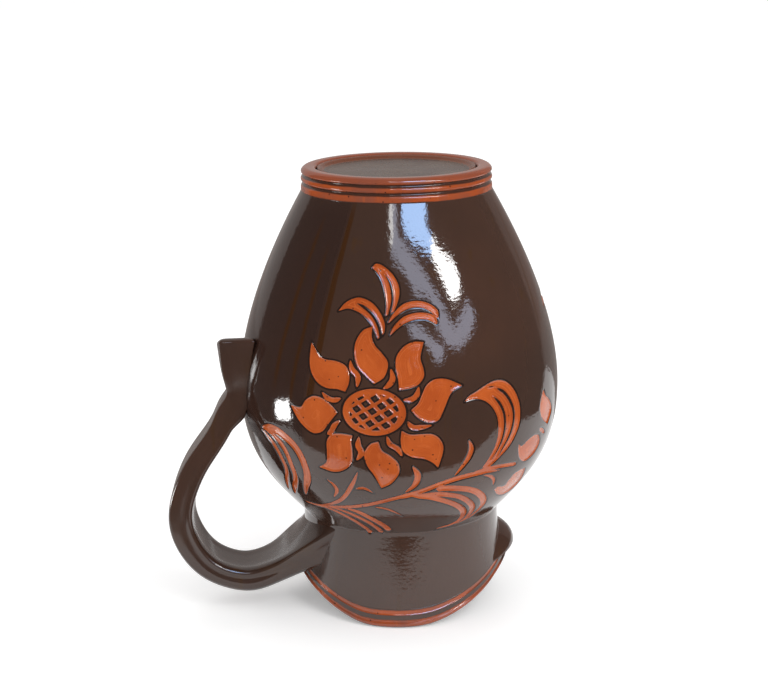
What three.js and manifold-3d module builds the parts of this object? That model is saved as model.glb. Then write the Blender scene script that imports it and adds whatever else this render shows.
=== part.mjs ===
// Clay jug with a round belly, a short neck, a pulled pouring lip and one strap handle.
// It stands mouth down, as such a jug is left to drain: the rim is below and the foot is on top.
// Millimetres, +Z up. The pot is turned about the Z axis, the handle lies towards -X and the lip towards +X.

import * as THREE from "three";
import { mergeVertices } from "three/addons/utils/BufferGeometryUtils.js";
import Module from "manifold-3d";

// Driving dimensions of the pot
const HEIGHT = 228; // rim to the face of the foot
const BELLY_RADIUS = 82;
const BELLY_HEIGHT = 116; // height of the widest line over the table
const FOOT_RADIUS = 48.2;
const FOOT_RING_HEIGHT = 12;
const FOOT_RING_WIDTH = 8.4;
const FOOT_FLAT_WIDTH = 3; // worn flat face of the foot
const ROUND_SHARE = 0.35; // where the one facet of a rounded corner bends, as a share of the corner
const RECESS_DEPTH = 2.4;
const NECK_RADIUS = 51;
const NECK_LENGTH = 51; // table to the crease under the belly
const RIM_RADIUS = 54;
const RIM_BAND_HEIGHT = 10;
const RIM_FLAT_WIDTH = 3;
const EDGE_ROUNDING = 0.1; // how far the rim's corners are rounded off, as a share of its thickness
const WALL = 5; // clay wall of belly and neck
const FLOOR_STEP = 1; // how far the floor reaches inside, past the joint of the foot ring

// Fullness of the belly's line: how far it keeps its direction at each end of its curves
const CREASE_STEP = 1; // how far the belly stands out over the neck at the crease
const FOOT_FLARE = 5.2;
const FOOT_FLARE_DROP = 9.5;
const UPPER_FULLNESS = 0.41; // share of the height between widest line and foot
const LOWER_FULLNESS = 0.49; // share of the height between widest line and crease
const CREASE_FULLNESS = 0.31;

// Slip and glaze
const SLIP_COAT = 0.8;
const GLAZE_COAT = 0.8;
const SEAM = 0.3; // clearance between neighbouring pieces

// Turned grooves of the foot ring
const GROOVE_DEPTH = 1.3;
const GROOVE_WIDTH = 1.8;
const FIRST_GROOVE = 3.8; // from the face of the foot to the middle of the groove
const SECOND_GROOVE = 7.8;

// The mouth is not level: front and back touch the table, lip and handle sides stand clear
const LIP_RISE = 22;
const HANDLE_RISE = 16;
const REST_DEPTH = 1.1; // how much of the lowest stretch is worn flat
const LOWEST_ANGLE = THREE.MathUtils.degToRad(-15);

// Pouring lip
const LIP_PULL = 3; // how far the wall is drawn out
const LIP_PULL_SPREAD = 1.3; // how far round the pull reaches, in half angles of the lip
const LIP_REACH = 60.5; // axis to the tip of the rolled lip
const LIP_HALF_HEIGHT = 8.5;
const LIP_HEIGHT = 26; // table to the middle of the rolled lip
const LIP_HALF_ANGLE = THREE.MathUtils.degToRad(30);

// Strap handle
const HANDLE_REACH = 122.5; // axis to the outermost point of the strap
const HANDLE_CREST_GAP = 8; // table to the lowest point of the strap
const HANDLE_MIDDLE_HEIGHT = 50;
const STRAP_WIDTH = 30;
const STRAP_THICKNESS = 13;
const ROOT_WIDTH = 46;
const ROOT_THICKNESS = 14;
const ROOT_HEIGHT = 31; // where the middle of the strap meets the neck
const ROOT_SPREAD = 12; // how much thicker the root is than the strap, where it meets the neck
const ROOT_TWIST = THREE.MathUtils.degToRad(-11); // how far its front edge is turned up the neck
const TAIL_HEIGHT = 138; // table to the cut end of the tail
const TAIL_LENGTH = 31;
const TAIL_WIDTH = 38;
const TAIL_THICKNESS = 13.5;
const PRESS_THICKNESS = 7.5; // where the thumb pressed the strap on to the belly
const PRESS_WIDTH = 27;
const PRESS_DEPTH = 21.7; // from the cut end of the tail down to the thumb press

// Counts
const TURNS = 40; // facets round the pot
const BELLY_STEPS = 7; // facets along each half of the belly
const NECK_STEPS = 4;
const LIP_FACETS = 16;
const HANDLE_STEPS = 34;

const OVERCUT = 4; // how far a piece runs into its neighbour before it is cut back

const wasm = await Module();
wasm.setup();

// Helpers for closed meshes

function bare(geometry) {
  geometry.deleteAttribute("normal");
  geometry.deleteAttribute("uv");
  return mergeVertices(geometry, 1e-4);
}

function signedVolume(geometry) {
  const place = geometry.getAttribute("position");
  const index = geometry.getIndex();
  const corner = [new THREE.Vector3(), new THREE.Vector3(), new THREE.Vector3()];
  let volume = 0;
  for (let i = 0; i < index.count; i += 3) {
    corner.forEach((c, k) => c.fromBufferAttribute(place, index.getX(i + k)));
    volume += corner[0].dot(corner[1].cross(corner[2])) / 6;
  }
  return volume;
}

function facingOut(geometry) {
  if (signedVolume(geometry) > 0) return geometry;
  const index = Array.from(geometry.getIndex().array);
  for (let i = 0; i < index.length; i += 3) [index[i], index[i + 1]] = [index[i + 1], index[i]];
  geometry.setIndex(index);
  return geometry;
}

function toSolid(geometry) {
  return new wasm.Manifold(new wasm.Mesh({
    numProp: 3,
    vertProperties: new Float32Array(geometry.getAttribute("position").array),
    triVerts: new Uint32Array(geometry.getIndex().array),
  }));
}

function fromSolid(solid) {
  const mesh = solid.getMesh();
  const geometry = new THREE.BufferGeometry();
  geometry.setAttribute("position", new THREE.BufferAttribute(mesh.vertProperties, 3));
  geometry.setIndex(Array.from(mesh.triVerts));
  return geometry;
}

function cutAway(geometry, tool) {
  return fromSolid(toSolid(geometry).subtract(toSolid(tool)));
}

// The shape of the mouth: it lifts the rim at lip and handle, and draws the lip outwards

function rimRise(angle) {
  const towardsLip = Math.atan2(Math.sin(angle), Math.abs(Math.cos(angle)));
  const towards = towardsLip > LOWEST_ANGLE ? 1 : -1;
  const span = Math.PI / 2 - towards * LOWEST_ANGLE;
  const share = (1 - Math.cos(Math.PI * Math.abs(towardsLip - LOWEST_ANGLE) / span)) / 2;
  const rise = share * (towards > 0 ? LIP_RISE : HANDLE_RISE);
  return Math.max(0, rise - REST_DEPTH);
}

function mouthShape(geometry) {
  const place = geometry.getAttribute("position");
  for (let i = 0; i < place.count; i++) {
    const [x, y, z] = [place.getX(i), place.getY(i), place.getZ(i)];
    if (z >= NECK_LENGTH) continue;
    const angle = Math.atan2(x, -y); // 0 at the front, 90 degrees at the lip
    const low = 1 - z / NECK_LENGTH;
    const offLip = Math.abs(angle - Math.PI / 2) / (LIP_HALF_ANGLE * LIP_PULL_SPREAD);
    const pull = offLip < 1 ? LIP_PULL * Math.cos(offLip * Math.PI / 2) ** 2 * low ** 3 : 0;
    const radius = Math.hypot(x, y);
    const grow = radius > 0 ? (radius + pull) / radius : 1;
    place.setXYZ(i, x * grow, y * grow, z + rimRise(angle) * low);
  }
  return geometry;
}

function turned(profile, onAxis = false) {
  const points = profile.map(([r, z]) => new THREE.Vector2(r, z));
  if (!onAxis) points.push(points[0].clone());
  const geometry = new THREE.LatheGeometry(points, TURNS);
  geometry.rotateX(Math.PI / 2);
  return facingOut(mouthShape(bare(geometry)));
}

// Outer line of the pot, as [radius, height] points from the foot down to the rim

const footJoint = HEIGHT - FOOT_RING_HEIGHT;

function bellyLine(inset, steps) {
  const climb = footJoint - BELLY_HEIGHT;
  const drop = BELLY_HEIGHT - NECK_LENGTH;
  const creaseRadius = NECK_RADIUS + CREASE_STEP;
  const creaseArm = CREASE_FULLNESS * drop;
  const upper = new THREE.CubicBezierCurve(
    new THREE.Vector2(FOOT_RADIUS, footJoint),
    new THREE.Vector2(FOOT_RADIUS + FOOT_FLARE, footJoint - FOOT_FLARE_DROP),
    new THREE.Vector2(BELLY_RADIUS, BELLY_HEIGHT + UPPER_FULLNESS * climb),
    new THREE.Vector2(BELLY_RADIUS, BELLY_HEIGHT),
  );
  const lower = new THREE.CubicBezierCurve(
    new THREE.Vector2(BELLY_RADIUS, BELLY_HEIGHT),
    new THREE.Vector2(BELLY_RADIUS, BELLY_HEIGHT - LOWER_FULLNESS * drop),
    new THREE.Vector2(creaseRadius + creaseArm, NECK_LENGTH + creaseArm),
    new THREE.Vector2(creaseRadius, NECK_LENGTH),
  );
  const points = [];
  for (const [curve, first] of [[upper, 0], [lower, 1]]) {
    for (let i = first; i <= steps; i++) {
      const at = curve.getPoint(i / steps);
      const along = curve.getTangent(i / steps);
      const ends = (curve === upper && i === 0) || (curve === lower && i === steps);
      const across = ends ? [1, 0] : [-along.y, along.x];
      points.push([at.x - inset * across[0], at.y - inset * across[1]]);
    }
  }
  return points;
}

function neckLine(inset, bottom) {
  const points = [];
  for (let i = 0; i <= NECK_STEPS; i++) {
    const z = NECK_LENGTH + (bottom - NECK_LENGTH) * (i / NECK_STEPS);
    const flare = (1 - z / NECK_LENGTH) ** 2;
    points.push([NECK_RADIUS + (RIM_RADIUS - NECK_RADIUS) * flare - inset, z]);
  }
  return points;
}

// The radius of a line of [radius, height] points, read from the top down, at one height
function radiusOn(line, height) {
  const below = line.findIndex(([, z]) => z < height);
  const [[r1, z1], [r2, z2]] = [line[below - 1], line[below]];
  return r1 + (r2 - r1) * (height - z1) / (z2 - z1);
}

const bellyRadiusAt = (height) => radiusOn(bellyLine(0, BELLY_STEPS), height);

const clayInset = SLIP_COAT + SEAM;
const liningInset = clayInset + WALL + SEAM;

// Pieces turned on the wheel

// The belly is thrown in two halves, which meet at its widest line
const footHalf = (line) => line.slice(0, BELLY_STEPS + 1);

function neckHalf(line) {
  const half = line.slice(BELLY_STEPS);
  half[0][1] -= SEAM;
  return half;
}

function bellyWall(half) {
  const outside = half(bellyLine(clayInset, BELLY_STEPS));
  const inside = half(bellyLine(clayInset + WALL, BELLY_STEPS));
  return turned([...outside, ...inside.reverse()]);
}

function bellySlipCoat() {
  const outside = bellyLine(0, BELLY_STEPS);
  const inside = bellyLine(SLIP_COAT, BELLY_STEPS);
  return turned([...outside, ...inside.reverse()]);
}

function neckCollar() {
  const bottom = RIM_BAND_HEIGHT + SEAM;
  const outside = neckLine(clayInset, bottom);
  const inside = neckLine(clayInset + WALL, bottom);
  outside[0][1] -= SEAM;
  inside[0][1] -= SEAM;
  return turned([...outside, ...inside.reverse()]);
}

function neckSlipCoat() {
  const bottom = RIM_BAND_HEIGHT + SEAM;
  const outside = neckLine(0, bottom);
  const inside = neckLine(SLIP_COAT, bottom);
  outside[0][1] -= SEAM;
  inside[0][1] -= SEAM;
  return turned([...outside, ...inside.reverse()]);
}

function rimBand() {
  const flare = (1 - RIM_BAND_HEIGHT / NECK_LENGTH) ** 2;
  const topRadius = NECK_RADIUS + (RIM_RADIUS - NECK_RADIUS) * flare;
  const thick = clayInset + WALL;
  const middle = RIM_RADIUS - thick / 2;
  const [roundIn, roundUp] = [thick * EDGE_ROUNDING, thick * EDGE_ROUNDING * 1.5];
  return turned([
    [topRadius - thick, RIM_BAND_HEIGHT],
    [topRadius, RIM_BAND_HEIGHT],
    [RIM_RADIUS, thick / 2],
    [RIM_RADIUS - roundIn, roundUp],
    [middle + RIM_FLAT_WIDTH / 2, 0],
    [middle - RIM_FLAT_WIDTH / 2, 0],
    [RIM_RADIUS - thick + roundIn, roundUp],
    [RIM_RADIUS - thick, thick / 2],
  ]);
}

const ringInnerRadius = FOOT_RADIUS - FOOT_RING_WIDTH;
const recessHeight = HEIGHT - RECESS_DEPTH;
const floorInside = footJoint - FLOOR_STEP;

function footRing() {
  const bevel = (FOOT_RING_WIDTH - FOOT_FLAT_WIDTH) / 2;
  const groove = (depth) => [
    [FOOT_RADIUS, HEIGHT - depth + GROOVE_WIDTH / 2],
    [FOOT_RADIUS - GROOVE_DEPTH, HEIGHT - depth],
    [FOOT_RADIUS, HEIGHT - depth - GROOVE_WIDTH / 2],
  ];
  return turned([
    [ringInnerRadius, footJoint],
    [ringInnerRadius, recessHeight],
    [ringInnerRadius + bevel * ROUND_SHARE, HEIGHT - RECESS_DEPTH * ROUND_SHARE],
    [ringInnerRadius + bevel, HEIGHT],
    [FOOT_RADIUS - bevel, HEIGHT],
    [FOOT_RADIUS - bevel * ROUND_SHARE, HEIGHT - bevel * ROUND_SHARE],
    ...groove(FIRST_GROOVE),
    ...groove(SECOND_GROOVE),
    [FOOT_RADIUS, footJoint],
  ]);
}

function baseFloor() {
  const radius = ringInnerRadius - SEAM;
  const outside = recessHeight - GLAZE_COAT - SEAM;
  return turned([[0, outside], [radius, outside], [radius, floorInside],
    [0, floorInside]], true);
}

function recessGlaze() {
  const radius = ringInnerRadius - SEAM;
  return turned([[0, recessHeight], [radius, recessHeight], [radius, recessHeight - GLAZE_COAT],
    [0, recessHeight - GLAZE_COAT]], true);
}

// The glaze inside is one cup, from the floor down to the rim band
function insideGlaze() {
  const skin = (inset, floor) => {
    const belly = bellyLine(inset, BELLY_STEPS).slice(0, -1);
    const wall = belly.filter(([, z]) => z < floor);
    return [[0, floor], [radiusOn(belly, floor), floor], ...wall, ...neckLine(inset, RIM_BAND_HEIGHT + SEAM)];
  };
  const outside = skin(liningInset, floorInside - SEAM);
  const inside = skin(liningInset + GLAZE_COAT, floorInside - SEAM - GLAZE_COAT);
  return turned([...outside, ...inside.reverse()], true);
}

// What handle and lip are fitted to: the pot's outside, grown by the seam and run on past the rim
function potEnvelope() {
  const belly = bellyLine(-SEAM, BELLY_STEPS).slice(0, -1);
  const neck = neckLine(-SEAM, RIM_BAND_HEIGHT);
  const rim = [[RIM_RADIUS + SEAM, (clayInset + WALL) / 2], [RIM_RADIUS + SEAM, -OVERCUT]];
  return turned([[0, footJoint], ...belly, ...neck, ...rim, [0, -OVERCUT]], true);
}

const envelope = potEnvelope();

// The rolled lip: a rounded bead bent round the mouth, cut back to the wall that it grows from
function pouringLip() {
  const geometry = bare(new THREE.SphereGeometry(1, LIP_FACETS, LIP_FACETS / 2));
  const place = geometry.getAttribute("position");
  const startRadius = RIM_RADIUS - OVERCUT;
  for (let i = 0; i < place.count; i++) {
    const angle = place.getX(i) * LIP_HALF_ANGLE;
    const radius = startRadius + place.getY(i) * (LIP_REACH - startRadius);
    const z = LIP_HEIGHT + place.getZ(i) * LIP_HALF_HEIGHT - (1 - Math.cos(angle)) * LIP_RISE;
    place.setXYZ(i, radius * Math.cos(angle), radius * Math.sin(angle), z);
  }
  return cutAway(facingOut(geometry), envelope);
}

// The strap: a section with a flat inner face, a bead and a groove along each edge and a round back.
// Across runs from -1 to 1 over the width, through from -1 on the inner face to 1 on the back.
const STRAP_SECTION = [
  [-0.78, -1], [0, -0.94], [0.78, -1], [0.98, -0.8], [1, -0.5], [0.93, -0.25], [0.97, 0.1], [0.8, 0.6],
  [0.45, 0.92], [0, 1], [-0.45, 0.92], [-0.8, 0.6], [-0.97, 0.1], [-0.93, -0.25], [-1, -0.5], [-0.98, -0.8],
];

const between = (a, b, share) => a + share * (b - a);

// Rows of the handle's line that its pieces are counted from
const CREST_ROW = 8;
const TAIL_END_ROW = 3.4;
const ROOT_START_ROW = 9.3;

function handleLine() {
  const reach = HANDLE_REACH - STRAP_THICKNESS / 2;
  const crest = HANDLE_CREST_GAP + ROOT_THICKNESS / 2;
  const pressHeight = TAIL_HEIGHT - PRESS_DEPTH;
  const leaveHeight = TAIL_HEIGHT - TAIL_LENGTH;
  const leaveRadius = bellyRadiusAt(leaveHeight);
  const slimTail = between(TAIL_THICKNESS, PRESS_THICKNESS, 0.5);
  const slimStrap = between(PRESS_THICKNESS, STRAP_THICKNESS, 0.64);
  const widen = (share) => between(STRAP_WIDTH, ROOT_WIDTH, share);
  const onBelly = (height, thickness) => bellyRadiusAt(height) + thickness / 2;
  const outwards = (share) => between(leaveRadius, reach, share);
  const downwards = (share) => between(leaveHeight, HANDLE_MIDDLE_HEIGHT, share);
  const toReach = (share) => between(NECK_RADIUS, reach, share);
  const toRoot = (share) => between(crest, ROOT_HEIGHT, share);
  const midTail = between(TAIL_HEIGHT, pressHeight, 0.5);
  // [distance from the axis, height, width, thickness] of the strap's middle line
  const rows = [
    [onBelly(TAIL_HEIGHT, TAIL_THICKNESS), TAIL_HEIGHT, TAIL_WIDTH, TAIL_THICKNESS],
    [onBelly(midTail, slimTail), midTail, between(TAIL_WIDTH, PRESS_WIDTH, 0.5), slimTail],
    [onBelly(pressHeight, PRESS_THICKNESS), pressHeight, PRESS_WIDTH, PRESS_THICKNESS],
    [leaveRadius + slimStrap * 0.64, leaveHeight, PRESS_WIDTH, slimStrap],
    [outwards(0.37), downwards(0.2), between(PRESS_WIDTH, STRAP_WIDTH, 0.33), slimStrap],
    [outwards(0.8), downwards(0.57), STRAP_WIDTH, between(slimStrap, STRAP_THICKNESS, 0.5)],
    [reach, HANDLE_MIDDLE_HEIGHT, STRAP_WIDTH, STRAP_THICKNESS],
    [toReach(0.82), between(crest, HANDLE_MIDDLE_HEIGHT, 0.28), widen(0.2), STRAP_THICKNESS],
    [toReach(0.5), crest, widen(0.5), ROOT_THICKNESS],
    [toReach(0.22), toRoot(0.27), widen(0.8), ROOT_THICKNESS + ROOT_SPREAD * 0.1],
    [NECK_RADIUS + OVERCUT, toRoot(0.62), ROOT_WIDTH, ROOT_THICKNESS + ROOT_SPREAD * 0.42],
    [NECK_RADIUS - OVERCUT, ROOT_HEIGHT, ROOT_WIDTH + OVERCUT, ROOT_THICKNESS + ROOT_SPREAD],
  ];
  const middle = new THREE.CatmullRomCurve3(rows.map(([r, z]) => new THREE.Vector3(-r, 0, z)));
  const size = new THREE.CatmullRomCurve3(rows.map(([, , w, t]) => new THREE.Vector3(w, t, 0)));
  return { middle, size, spans: rows.length - 1 };
}

const handle = handleLine();
const DOWN = new THREE.Vector3(0, 0, -1);

// One stretch of the handle, from one share of its line to another. Its sections lie square to the line,
// and past the crest they stand upright, so that the root spreads up and down the neck.
function strapStretch(from, to, inward) {
  const steps = Math.max(2, Math.round(HANDLE_STEPS * (to - from)));
  const count = STRAP_SECTION.length;
  const places = [];
  for (let i = 0; i <= steps; i++) {
    const share = from + (to - from) * (i / steps);
    const centre = handle.middle.getPoint(share);
    const along = handle.middle.getTangent(share);
    const { x: width, y: thickness } = handle.size.getPoint(share);
    const pastCrest = THREE.MathUtils.smoothstep(share * handle.spans, CREST_ROW - 1, CREST_ROW + 1);
    const outwards = new THREE.Vector3(along.z, 0, -along.x).lerp(DOWN, pastCrest).normalize();
    const twist = ROOT_TWIST * THREE.MathUtils.smoothstep(share * handle.spans, CREST_ROW, ROOT_START_ROW);
    for (const [across, through] of STRAP_SECTION) {
      const flatDepth = through * thickness / 2 + Math.min(0, through) * inward(share);
      const depth = flatDepth * Math.cos(twist) - across * width / 2 * Math.sin(twist);
      const side = across * width / 2 * Math.cos(twist) + flatDepth * Math.sin(twist);
      places.push(centre.x + outwards.x * depth, side, centre.z + outwards.z * depth);
    }
  }
  const index = [];
  for (let i = 0; i < steps; i++) {
    for (let k = 0; k < count; k++) {
      const [a, b] = [i * count + k, i * count + (k + 1) % count];
      index.push(a, b, a + count, b, b + count, a + count);
    }
  }
  const outline = STRAP_SECTION.map(([across, through]) => new THREE.Vector2(across, through));
  const last = steps * count;
  for (const [a, b, c] of THREE.ShapeUtils.triangulateShape(outline, [])) {
    index.push(b, a, c, last + a, last + b, last + c);
  }
  const geometry = new THREE.BufferGeometry();
  geometry.setAttribute("position", new THREE.Float32BufferAttribute(places, 3));
  geometry.setIndex(index);
  return cutAway(facingOut(geometry), envelope);
}

const seamShare = SEAM / handle.middle.getLength();
const tailShare = TAIL_END_ROW / handle.spans;
const rootShare = ROOT_START_ROW / handle.spans;
const intoBelly = (share) => (share < tailShare ? OVERCUT : 0);

// The pieces, with the colours and gloss of fired and glazed earthenware

const darkGlaze = { color: 0x2b1712, roughness: 0.12, metalness: 0 };
const bareClay = { color: 0xb5572c, roughness: 0.35, metalness: 0 };
const clearGlaze = { color: 0x6e4a3a, roughness: 0.15, metalness: 0 };

const group = new THREE.Group();

function piece(name, geometry, finish) {
  const mesh = new THREE.Mesh(geometry, new THREE.MeshStandardMaterial(finish));
  mesh.name = name;
  group.add(mesh);
}

piece("foot_ring", footRing(), bareClay);
piece("base_floor", baseFloor(), bareClay);
piece("recess_glaze", recessGlaze(), clearGlaze);
piece("belly_wall_foot_half", bellyWall(footHalf), bareClay);
piece("belly_wall_neck_half", bellyWall(neckHalf), bareClay);
piece("belly_slip_coat", bellySlipCoat(), darkGlaze);
piece("neck_collar", neckCollar(), bareClay);
piece("neck_slip_coat", neckSlipCoat(), darkGlaze);
piece("rim_band", rimBand(), bareClay);
piece("pouring_lip", pouringLip(), darkGlaze);
piece("inside_glaze", insideGlaze(), clearGlaze);
piece("handle_tail", strapStretch(0, tailShare, intoBelly), darkGlaze);
piece("handle_strap", strapStretch(tailShare + seamShare, rootShare, () => 0), darkGlaze);
piece("handle_neck_root", strapStretch(rootShare + seamShare, 1, () => 0), darkGlaze);

// The origin is under the middle of the jug's outline, on the table
const box = new THREE.Box3().setFromObject(group);
const middle = box.getCenter(new THREE.Vector3());
group.position.set(-middle.x, -middle.y, -box.min.z);

export default group;
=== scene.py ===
# %% [markdown]
# # A clay jug that drains mouth down
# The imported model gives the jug's pieces at their real size. This lesson dresses them: a gloss glaze
# over dark slip, a flower carved through it to the orange clay, and a hand-pulled handle.
# The frame is loaded first, because every size below is read from it or fits inside it.

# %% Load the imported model
import math

import bpy
import numpy as np
from mathutils import Matrix, Vector


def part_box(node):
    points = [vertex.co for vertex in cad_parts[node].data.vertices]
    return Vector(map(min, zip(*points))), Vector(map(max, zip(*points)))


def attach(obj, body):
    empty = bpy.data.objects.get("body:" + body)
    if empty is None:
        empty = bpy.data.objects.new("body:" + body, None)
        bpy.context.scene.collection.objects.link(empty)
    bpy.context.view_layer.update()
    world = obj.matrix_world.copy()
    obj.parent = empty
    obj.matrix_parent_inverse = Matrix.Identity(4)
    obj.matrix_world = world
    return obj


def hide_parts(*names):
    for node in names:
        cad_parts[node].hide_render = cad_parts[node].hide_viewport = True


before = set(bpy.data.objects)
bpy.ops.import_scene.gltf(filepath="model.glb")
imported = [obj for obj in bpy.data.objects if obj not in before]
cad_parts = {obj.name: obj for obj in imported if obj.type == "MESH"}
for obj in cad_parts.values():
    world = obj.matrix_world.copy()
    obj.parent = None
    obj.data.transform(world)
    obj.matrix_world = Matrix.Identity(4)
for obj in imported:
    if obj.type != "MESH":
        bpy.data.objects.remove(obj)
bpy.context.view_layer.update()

MM = 0.001

# %% [markdown]
# ## Sizes from the frame
# All shapes are worked out in millimetres round the jug's own axis, which stands beside the origin,
# because the origin is under the middle of the whole outline, handle included.
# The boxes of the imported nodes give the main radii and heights. The rest are the part's own sizes.

# %% Read the main sizes
belly_low, belly_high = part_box("belly_slip_coat")
foot_low, foot_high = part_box("foot_ring")
rim_low, rim_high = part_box("rim_band")
AXIS_X = (belly_low.x + belly_high.x) / 2 / MM
BELLY_RADIUS = belly_high.y / MM
BELLY_HEIGHT = 116
HEIGHT = foot_high.z / MM
FOOT_JOINT = foot_low.z / MM
FOOT_RADIUS = foot_high.y / MM
CREASE_HEIGHT = belly_low.z / MM
NECK_RADIUS = 51
WAIST_HEIGHT = 40
RIM_RADIUS = rim_high.y / MM
RIM_BAND_HEIGHT = 10
WALL = 6.1
print("axis at x", round(AXIS_X, 2), "belly radius", round(BELLY_RADIUS, 1), "height", round(HEIGHT, 1))

# %% [markdown]
# ## The line of the pot
# A thrown pot is one line turned round an axis. The belly is two Bezier curves that meet at the widest
# line, and the neck is a gentle flare. A potter's finger leaves a soft hollow where belly and neck meet,
# so the sharp corner of the two curves is eased with a short running average along the line.

# %% Draw the outer line from foot to rim
# how far the curves' control points stand off, in mm at the foot and else as shares of a half's height
FOOT_SPREAD = 5.2
FOOT_SLOPE = 9.5
UPPER_FULLNESS = 0.41
LOWER_FULLNESS = 0.483
CREASE_SPREAD = 0.30
CREASE_SLOPE = 0.322


def bezier(p0, p1, p2, p3, steps=200):
    t = np.linspace(0, 1, steps + 1)[:, None]
    p0, p1, p2, p3 = (np.array(p, float) for p in (p0, p1, p2, p3))
    return (1 - t) ** 3 * p0 + 3 * (1 - t) ** 2 * t * p1 + 3 * (1 - t) * t ** 2 * p2 + t ** 3 * p3


def run_along(line):
    """Distance along a line to each of its points."""
    return np.concatenate([[0], np.cumsum(np.hypot(*np.diff(line, axis=0).T))])


def line_at(places, line, run):
    """The [radius, height] points of a line at distances along it."""
    return np.stack([np.interp(places, run, line[:, k]) for k in (0, 1)], axis=1)


def evenly(line, step):
    """The same line as points a step apart."""
    run = run_along(line)
    return line_at(np.linspace(0, run[-1], max(2, round(run[-1] / step) + 1)), line, run)


def outward(line):
    """Unit steps at right angles to a line that runs from the foot to the rim."""
    along = np.gradient(line, axis=0)
    along /= np.hypot(along[:, 0], along[:, 1])[:, None]
    return np.stack([-along[:, 1], along[:, 0]], axis=1)


def neck_radius(z):
    return NECK_RADIUS + (RIM_RADIUS - NECK_RADIUS) * (1 - z / WAIST_HEIGHT) ** 2


def outer_line(step):
    climb = FOOT_JOINT - BELLY_HEIGHT
    drop = BELLY_HEIGHT - CREASE_HEIGHT
    widest = (BELLY_RADIUS, BELLY_HEIGHT)
    crease = np.array([NECK_RADIUS + 1, CREASE_HEIGHT])
    upper = bezier((FOOT_RADIUS, FOOT_JOINT), (FOOT_RADIUS + FOOT_SPREAD, FOOT_JOINT - FOOT_SLOPE),
                   (BELLY_RADIUS, BELLY_HEIGHT + UPPER_FULLNESS * climb), widest)
    lower = bezier(widest, (BELLY_RADIUS, BELLY_HEIGHT - LOWER_FULLNESS * drop),
                   crease + [CREASE_SPREAD * drop, CREASE_SLOPE * drop], crease)
    z = np.linspace(CREASE_HEIGHT - 0.5, RIM_BAND_HEIGHT, 100)
    neck = np.stack([neck_radius(z), z], axis=1)
    return evenly(np.concatenate([upper, lower[1:], neck]), step)


def eased(line, reach, step):
    """Smooths a line's columns over a reach, with both ends held."""
    half = round(2.5 * reach / step)
    weights = np.exp(-0.5 * (np.arange(-half, half + 1) * step / reach) ** 2)
    weights /= weights.sum()
    padded = np.concatenate([2 * line[0] - line[half:0:-1], line, 2 * line[-1] - line[-2:-half - 2:-1]])
    return np.stack([np.convolve(column, weights, "valid") for column in padded.T], axis=1)


FINE_STEP = 0.1
CREASE_EASE = 1.0
pot_line = eased(outer_line(FINE_STEP), CREASE_EASE, FINE_STEP)
pot_run = run_along(pot_line)
# the belly's coat runs on this far past the crease, and the neck's starts there
COAT_SPLIT = 8
split_row = int(np.argmin(np.abs(pot_line[:, 1] - (CREASE_HEIGHT - COAT_SPLIT))))


def belly_radius_at(z):
    return np.interp(-z, -pot_line[:split_row, 1], pot_line[:split_row, 0])


print("outer line", round(pot_run[-1], 1), "mm long, coats meet at", round(pot_run[split_row], 1))


# %% [markdown]
# ## The mouth is not level
# The rim touches the table at front and back, and rises towards the lip and the handle.
# The rise fades up the neck to nothing at the crease. Beside the rise, the wall is drawn out at the lip.

# %% Bend the mouth
LIP_ANGLE = np.pi / 2
LIP_RISE = 22
HANDLE_RISE = 16
REST_DEPTH = 1.1
REST_SOFT = 1.6
LOWEST_ANGLE = math.radians(-15)
LIP_PULL = 3
LIP_PULL_REACH = math.radians(39)


def smooth_max(a, b, reach):
    h = np.clip(0.5 + 0.5 * (a - b) / reach, 0, 1)
    return b * (1 - h) + a * h + reach * h * (1 - h)


def wrapped(angle):
    """The same angle between minus and plus half a turn."""
    return (angle + np.pi) % (2 * np.pi) - np.pi


def rim_rise(angle):
    """Height of the rim over the table. The angle is 0 at the front and a quarter turn at the lip."""
    to_lip = np.arctan2(np.sin(angle), np.abs(np.cos(angle)))
    lip_side = to_lip > LOWEST_ANGLE
    span = math.pi / 2 - np.where(lip_side, 1, -1) * LOWEST_ANGLE
    share = (1 - np.cos(np.pi * np.abs(to_lip - LOWEST_ANGLE) / span)) / 2
    rise = share * np.where(lip_side, LIP_RISE, HANDLE_RISE) - REST_DEPTH
    return smooth_max(rise, 0, REST_SOFT) - smooth_max(-REST_DEPTH, 0, REST_SOFT)


def turn(radius, angle, z):
    """Points of a turned surface, with the mouth's bend, as x, y, z in mm in the shared frame."""
    low = np.clip(1 - z / CREASE_HEIGHT, 0, None)
    off_lip = np.abs(wrapped(angle - LIP_ANGLE)) / LIP_PULL_REACH
    pull = np.where(off_lip < 1, LIP_PULL * np.cos(np.clip(off_lip, 0, 1) * np.pi / 2) ** 2, 0) * low ** 3
    r = radius + pull
    return np.stack([AXIS_X + r * np.sin(angle), -r * np.cos(angle), z + rim_rise(angle) * low], axis=-1)


def turn_line(line, angles):
    """A grid of points: a line of [radius, height] rows, turned to each of the angles."""
    return turn(line[:, :1], angles[None, :], np.repeat(line[:, 1:], len(angles), axis=1))


rises = [round(float(rim_rise(angle)), 1) for angle in (LIP_ANGLE, -LIP_ANGLE)]
print("rim over the table at lip and handle:", rises)

# %% [markdown]
# ## Meshes from grids
# Every turned piece is a grid of rows and columns. One helper makes the faces of a grid, and one makes
# a closed shell: an outer grid, an inner grid, and the strips that join their edges. A ring closes on
# itself, and a gore, which is one slice of the ring, gets a flat side at each end.

# %% Helpers for grids and shells
def quads(rows, columns, wrap, first=0):
    r, c = np.meshgrid(np.arange(rows - 1), np.arange(columns if wrap else columns - 1), indexing="ij")
    a = first + r * columns + c
    b = first + r * columns + (c + 1) % columns
    return np.stack([a, b, b + columns, a + columns], axis=-1).reshape(-1, 4)


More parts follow.
